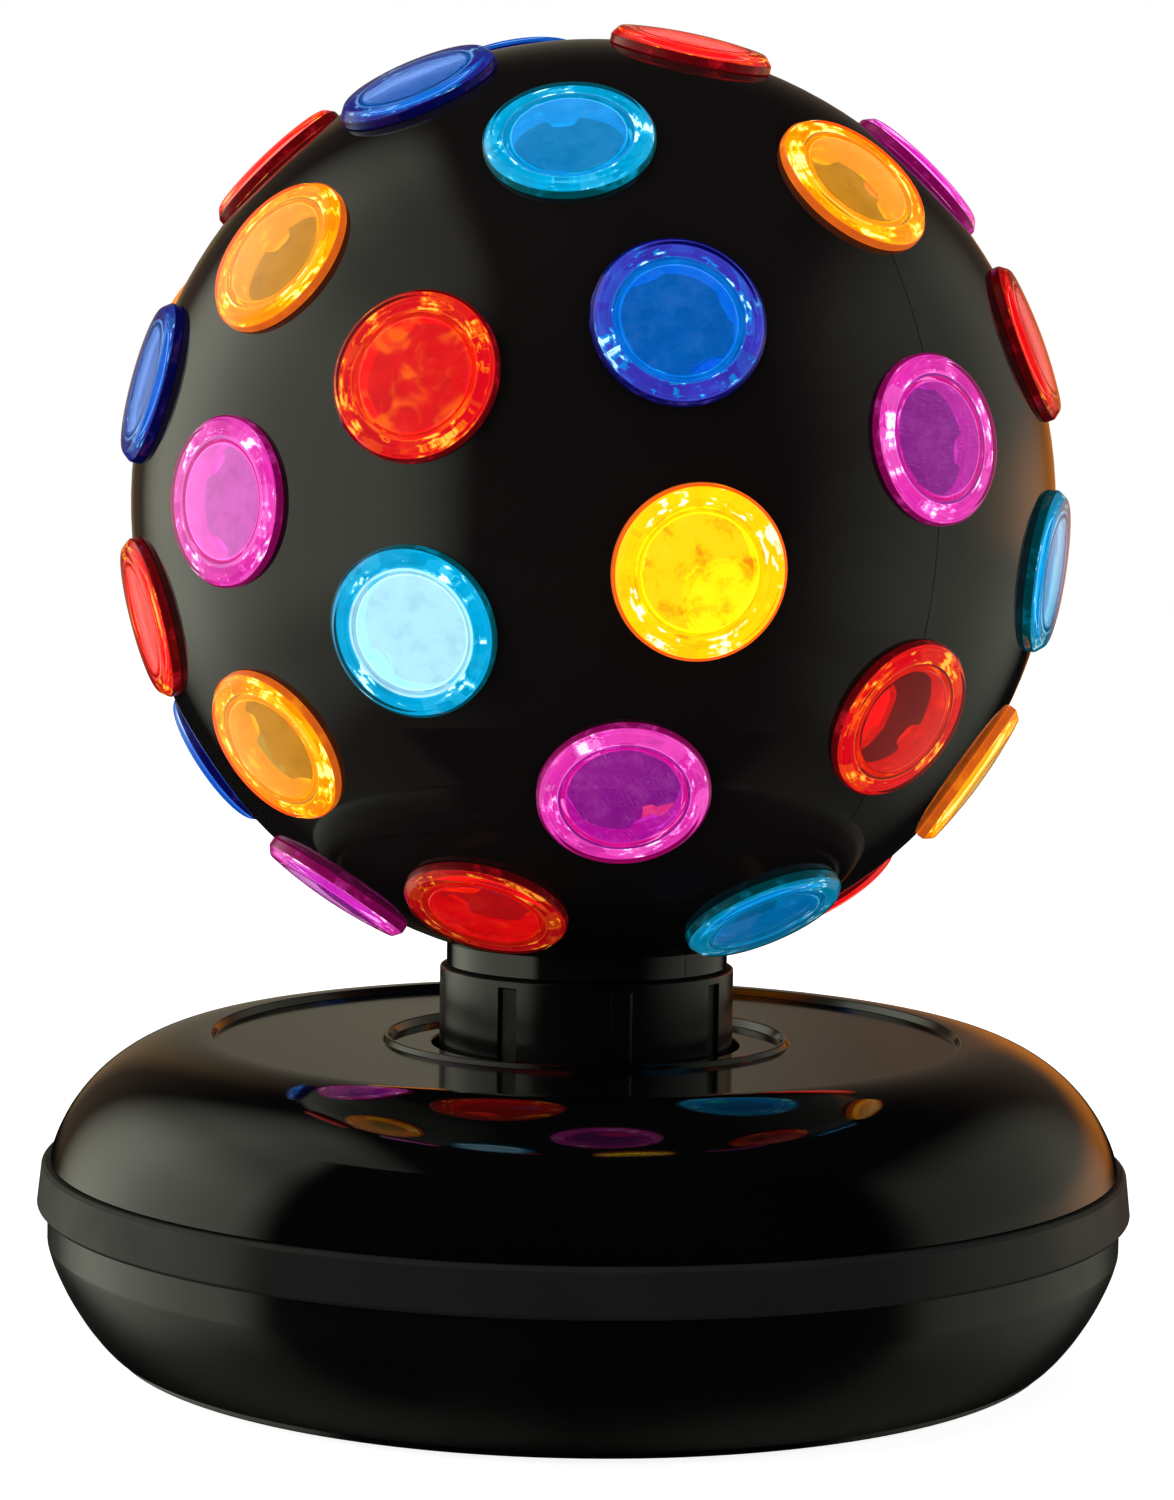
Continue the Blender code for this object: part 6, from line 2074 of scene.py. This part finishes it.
    def build_lamps(self) -> None:
        """Large soft lamps, in metres, that lift the matte surfaces and stay out of the gloss."""
        for name, place, size, share in (
            ("top_fill", (0.0, -0.2, 1.5), 1.2, 1.0),
            ("left_fill", (-1.5, -0.7, 0.7), 0.9, 0.8),
            ("right_fill", (1.5, -0.7, 0.7), 0.9, 0.8),
            ("back_fill", (0.3, 1.6, 0.9), 1.0, 0.8),
        ):
            data = bpy.data.lights.new(name, "AREA")
            data.shape = "DISK"
            data.size = size
            data.energy = self.fill_watts * share
            item = bpy.data.objects.new(name, data)
            item.location = place
            item.rotation_euler = (Vector((0, 0, 0.1)) - Vector(place)).to_track_quat("-Z", "Y").to_euler()
            item.visible_camera = False
            item.visible_glossy = False
            item.visible_transmission = False
            bpy.context.scene.collection.objects.link(item)

    def build_card(self) -> None:
        """A bent black card in front of the base, which hides the panels from the base's front.

        It is black from the base's side only, fades out at its two ends, and the camera doesn't see it.
        Only the gloss sees it, so it is a painted dark reflection of the room in front.
        """
        count = self.card_columns
        spread = math.radians(self.card_spread)
        turns = [-QUARTER - spread + 2 * spread * n / count for n in range(count + 1)]
        section = ((self.card_outer, self.card_level), (self.card_inner, self.card_level))
        section += ((self.card_inner + self.card_flare, self.card_foot),)
        points = [(r * math.cos(turn), r * math.sin(turn), z) for turn in turns for r, z in section]
        faces = []
        for column in range(count):
            for row in (3 * column, 3 * column + 1):
                faces.append((row, row + 1, row + 4, row + 3))
        mesh = mesh_of("black_card", points, faces, [0] * len(faces))
        item = bpy.data.objects.new("black_card", mesh)
        made = bpy.data.materials.new("black_card")
        made.use_nodes = True
        tree = made.node_tree
        tree.nodes.clear()
        place = add_node(tree, "TexCoord").outputs["Object"]
        parts = add_node(tree, "SeparateXYZ", None, {0: place})
        aside = add_node(tree, "Math", {"operation": "ABSOLUTE"}, {0: parts.outputs["X"]})
        turn = add_node(
            tree, "Math", {"operation": "ARCTAN2"}, {0: parts.outputs["Y"], 1: aside.outputs[0]}
        )
        ends = {"interpolation_type": "SMOOTHSTEP"}
        ends |= dict(zip(("From Min", "From Max"), map(math.radians, self.card_fade)))
        solid = add_node(tree, "MapRange", ends, {"Value": turn.outputs[0]})
        up = add_node(tree, "NewGeometry")
        facing = add_node(tree, "SeparateXYZ", None, {0: up.outputs["Normal"]})
        below = add_node(tree, "Math", {"operation": "LESS_THAN", 1: 0.0}, {0: facing.outputs["Z"]})
        share = add_node(
            tree, "Math", {"operation": "MULTIPLY"}, {0: solid.outputs[0], 1: below.outputs[0]}
        )
        clear = add_node(tree, "BsdfTransparent")
        black = add_node(tree, "Emission", {"Strength": 0.0})
        both = add_node(
            tree, "MixShader", None, {0: share.outputs[0], 1: clear.outputs[0], 2: black.outputs[0]}
        )
        add_node(tree, "OutputMaterial", None, {"Surface": both.outputs[0]})
        mesh.materials.append(made)
        item.visible_camera = False
        item.visible_diffuse = False
        item.visible_shadow = False
        item.visible_transmission = False
        bpy.context.scene.collection.objects.link(item)

    def build_floor(self) -> None:
        """The plain pale floor, white to the camera apart from the object's own soft shadow."""
        half = self.floor_side / 2
        corners = [(-half, -half, 0), (half, -half, 0), (half, half, 0), (-half, half, 0)]
        mesh = mesh_of("floor", corners, [(0, 1, 2, 3)], [0])
        item = bpy.data.objects.new("floor", mesh)
        made = bpy.data.materials.new("pale_floor")
        made.use_nodes = True
        tree = made.node_tree
        shader = tree.nodes["Principled BSDF"]
        shader.inputs["Base Color"].default_value = linear("#e8e8e6")
        shader.inputs["Roughness"].default_value = 0.9
        shader.inputs["Specular IOR Level"].default_value = 0.0
        path = add_node(tree, "LightPath").outputs
        shown = {"operation": "MULTIPLY", 1: self.floor_level}
        level = add_node(tree, "Math", shown, {0: path["Is Camera Ray"]})
        shader.inputs["Emission Color"].default_value = (1, 1, 1, 1)
        tree.links.new(level.outputs[0], shader.inputs["Emission Strength"])
        made.cycles.emission_sampling = "NONE"
        mesh.materials.append(made)
        item.visible_glossy = False
        item.visible_transmission = False
        bpy.context.scene.collection.objects.link(item)

    def build(self) -> None:
        """Builds all of it."""
        self.build_camera()
        self.build_world()
        self.build_lamps()
        self.build_card()
        self.build_floor()
        bpy.context.scene.view_settings.view_transform = "Standard"


def main() -> None:
    """Builds the light and its studio."""
    logging.basicConfig(level=logging.INFO, format="%(name)s: %(message)s")
    for part in (Studio(), Base(), Underside(), Rear(), Collar(), Ball(), Inside()):
        part.build()
        LOG.info("%s is built", type(part).__name__)


if __name__ == "__main__":
    main()
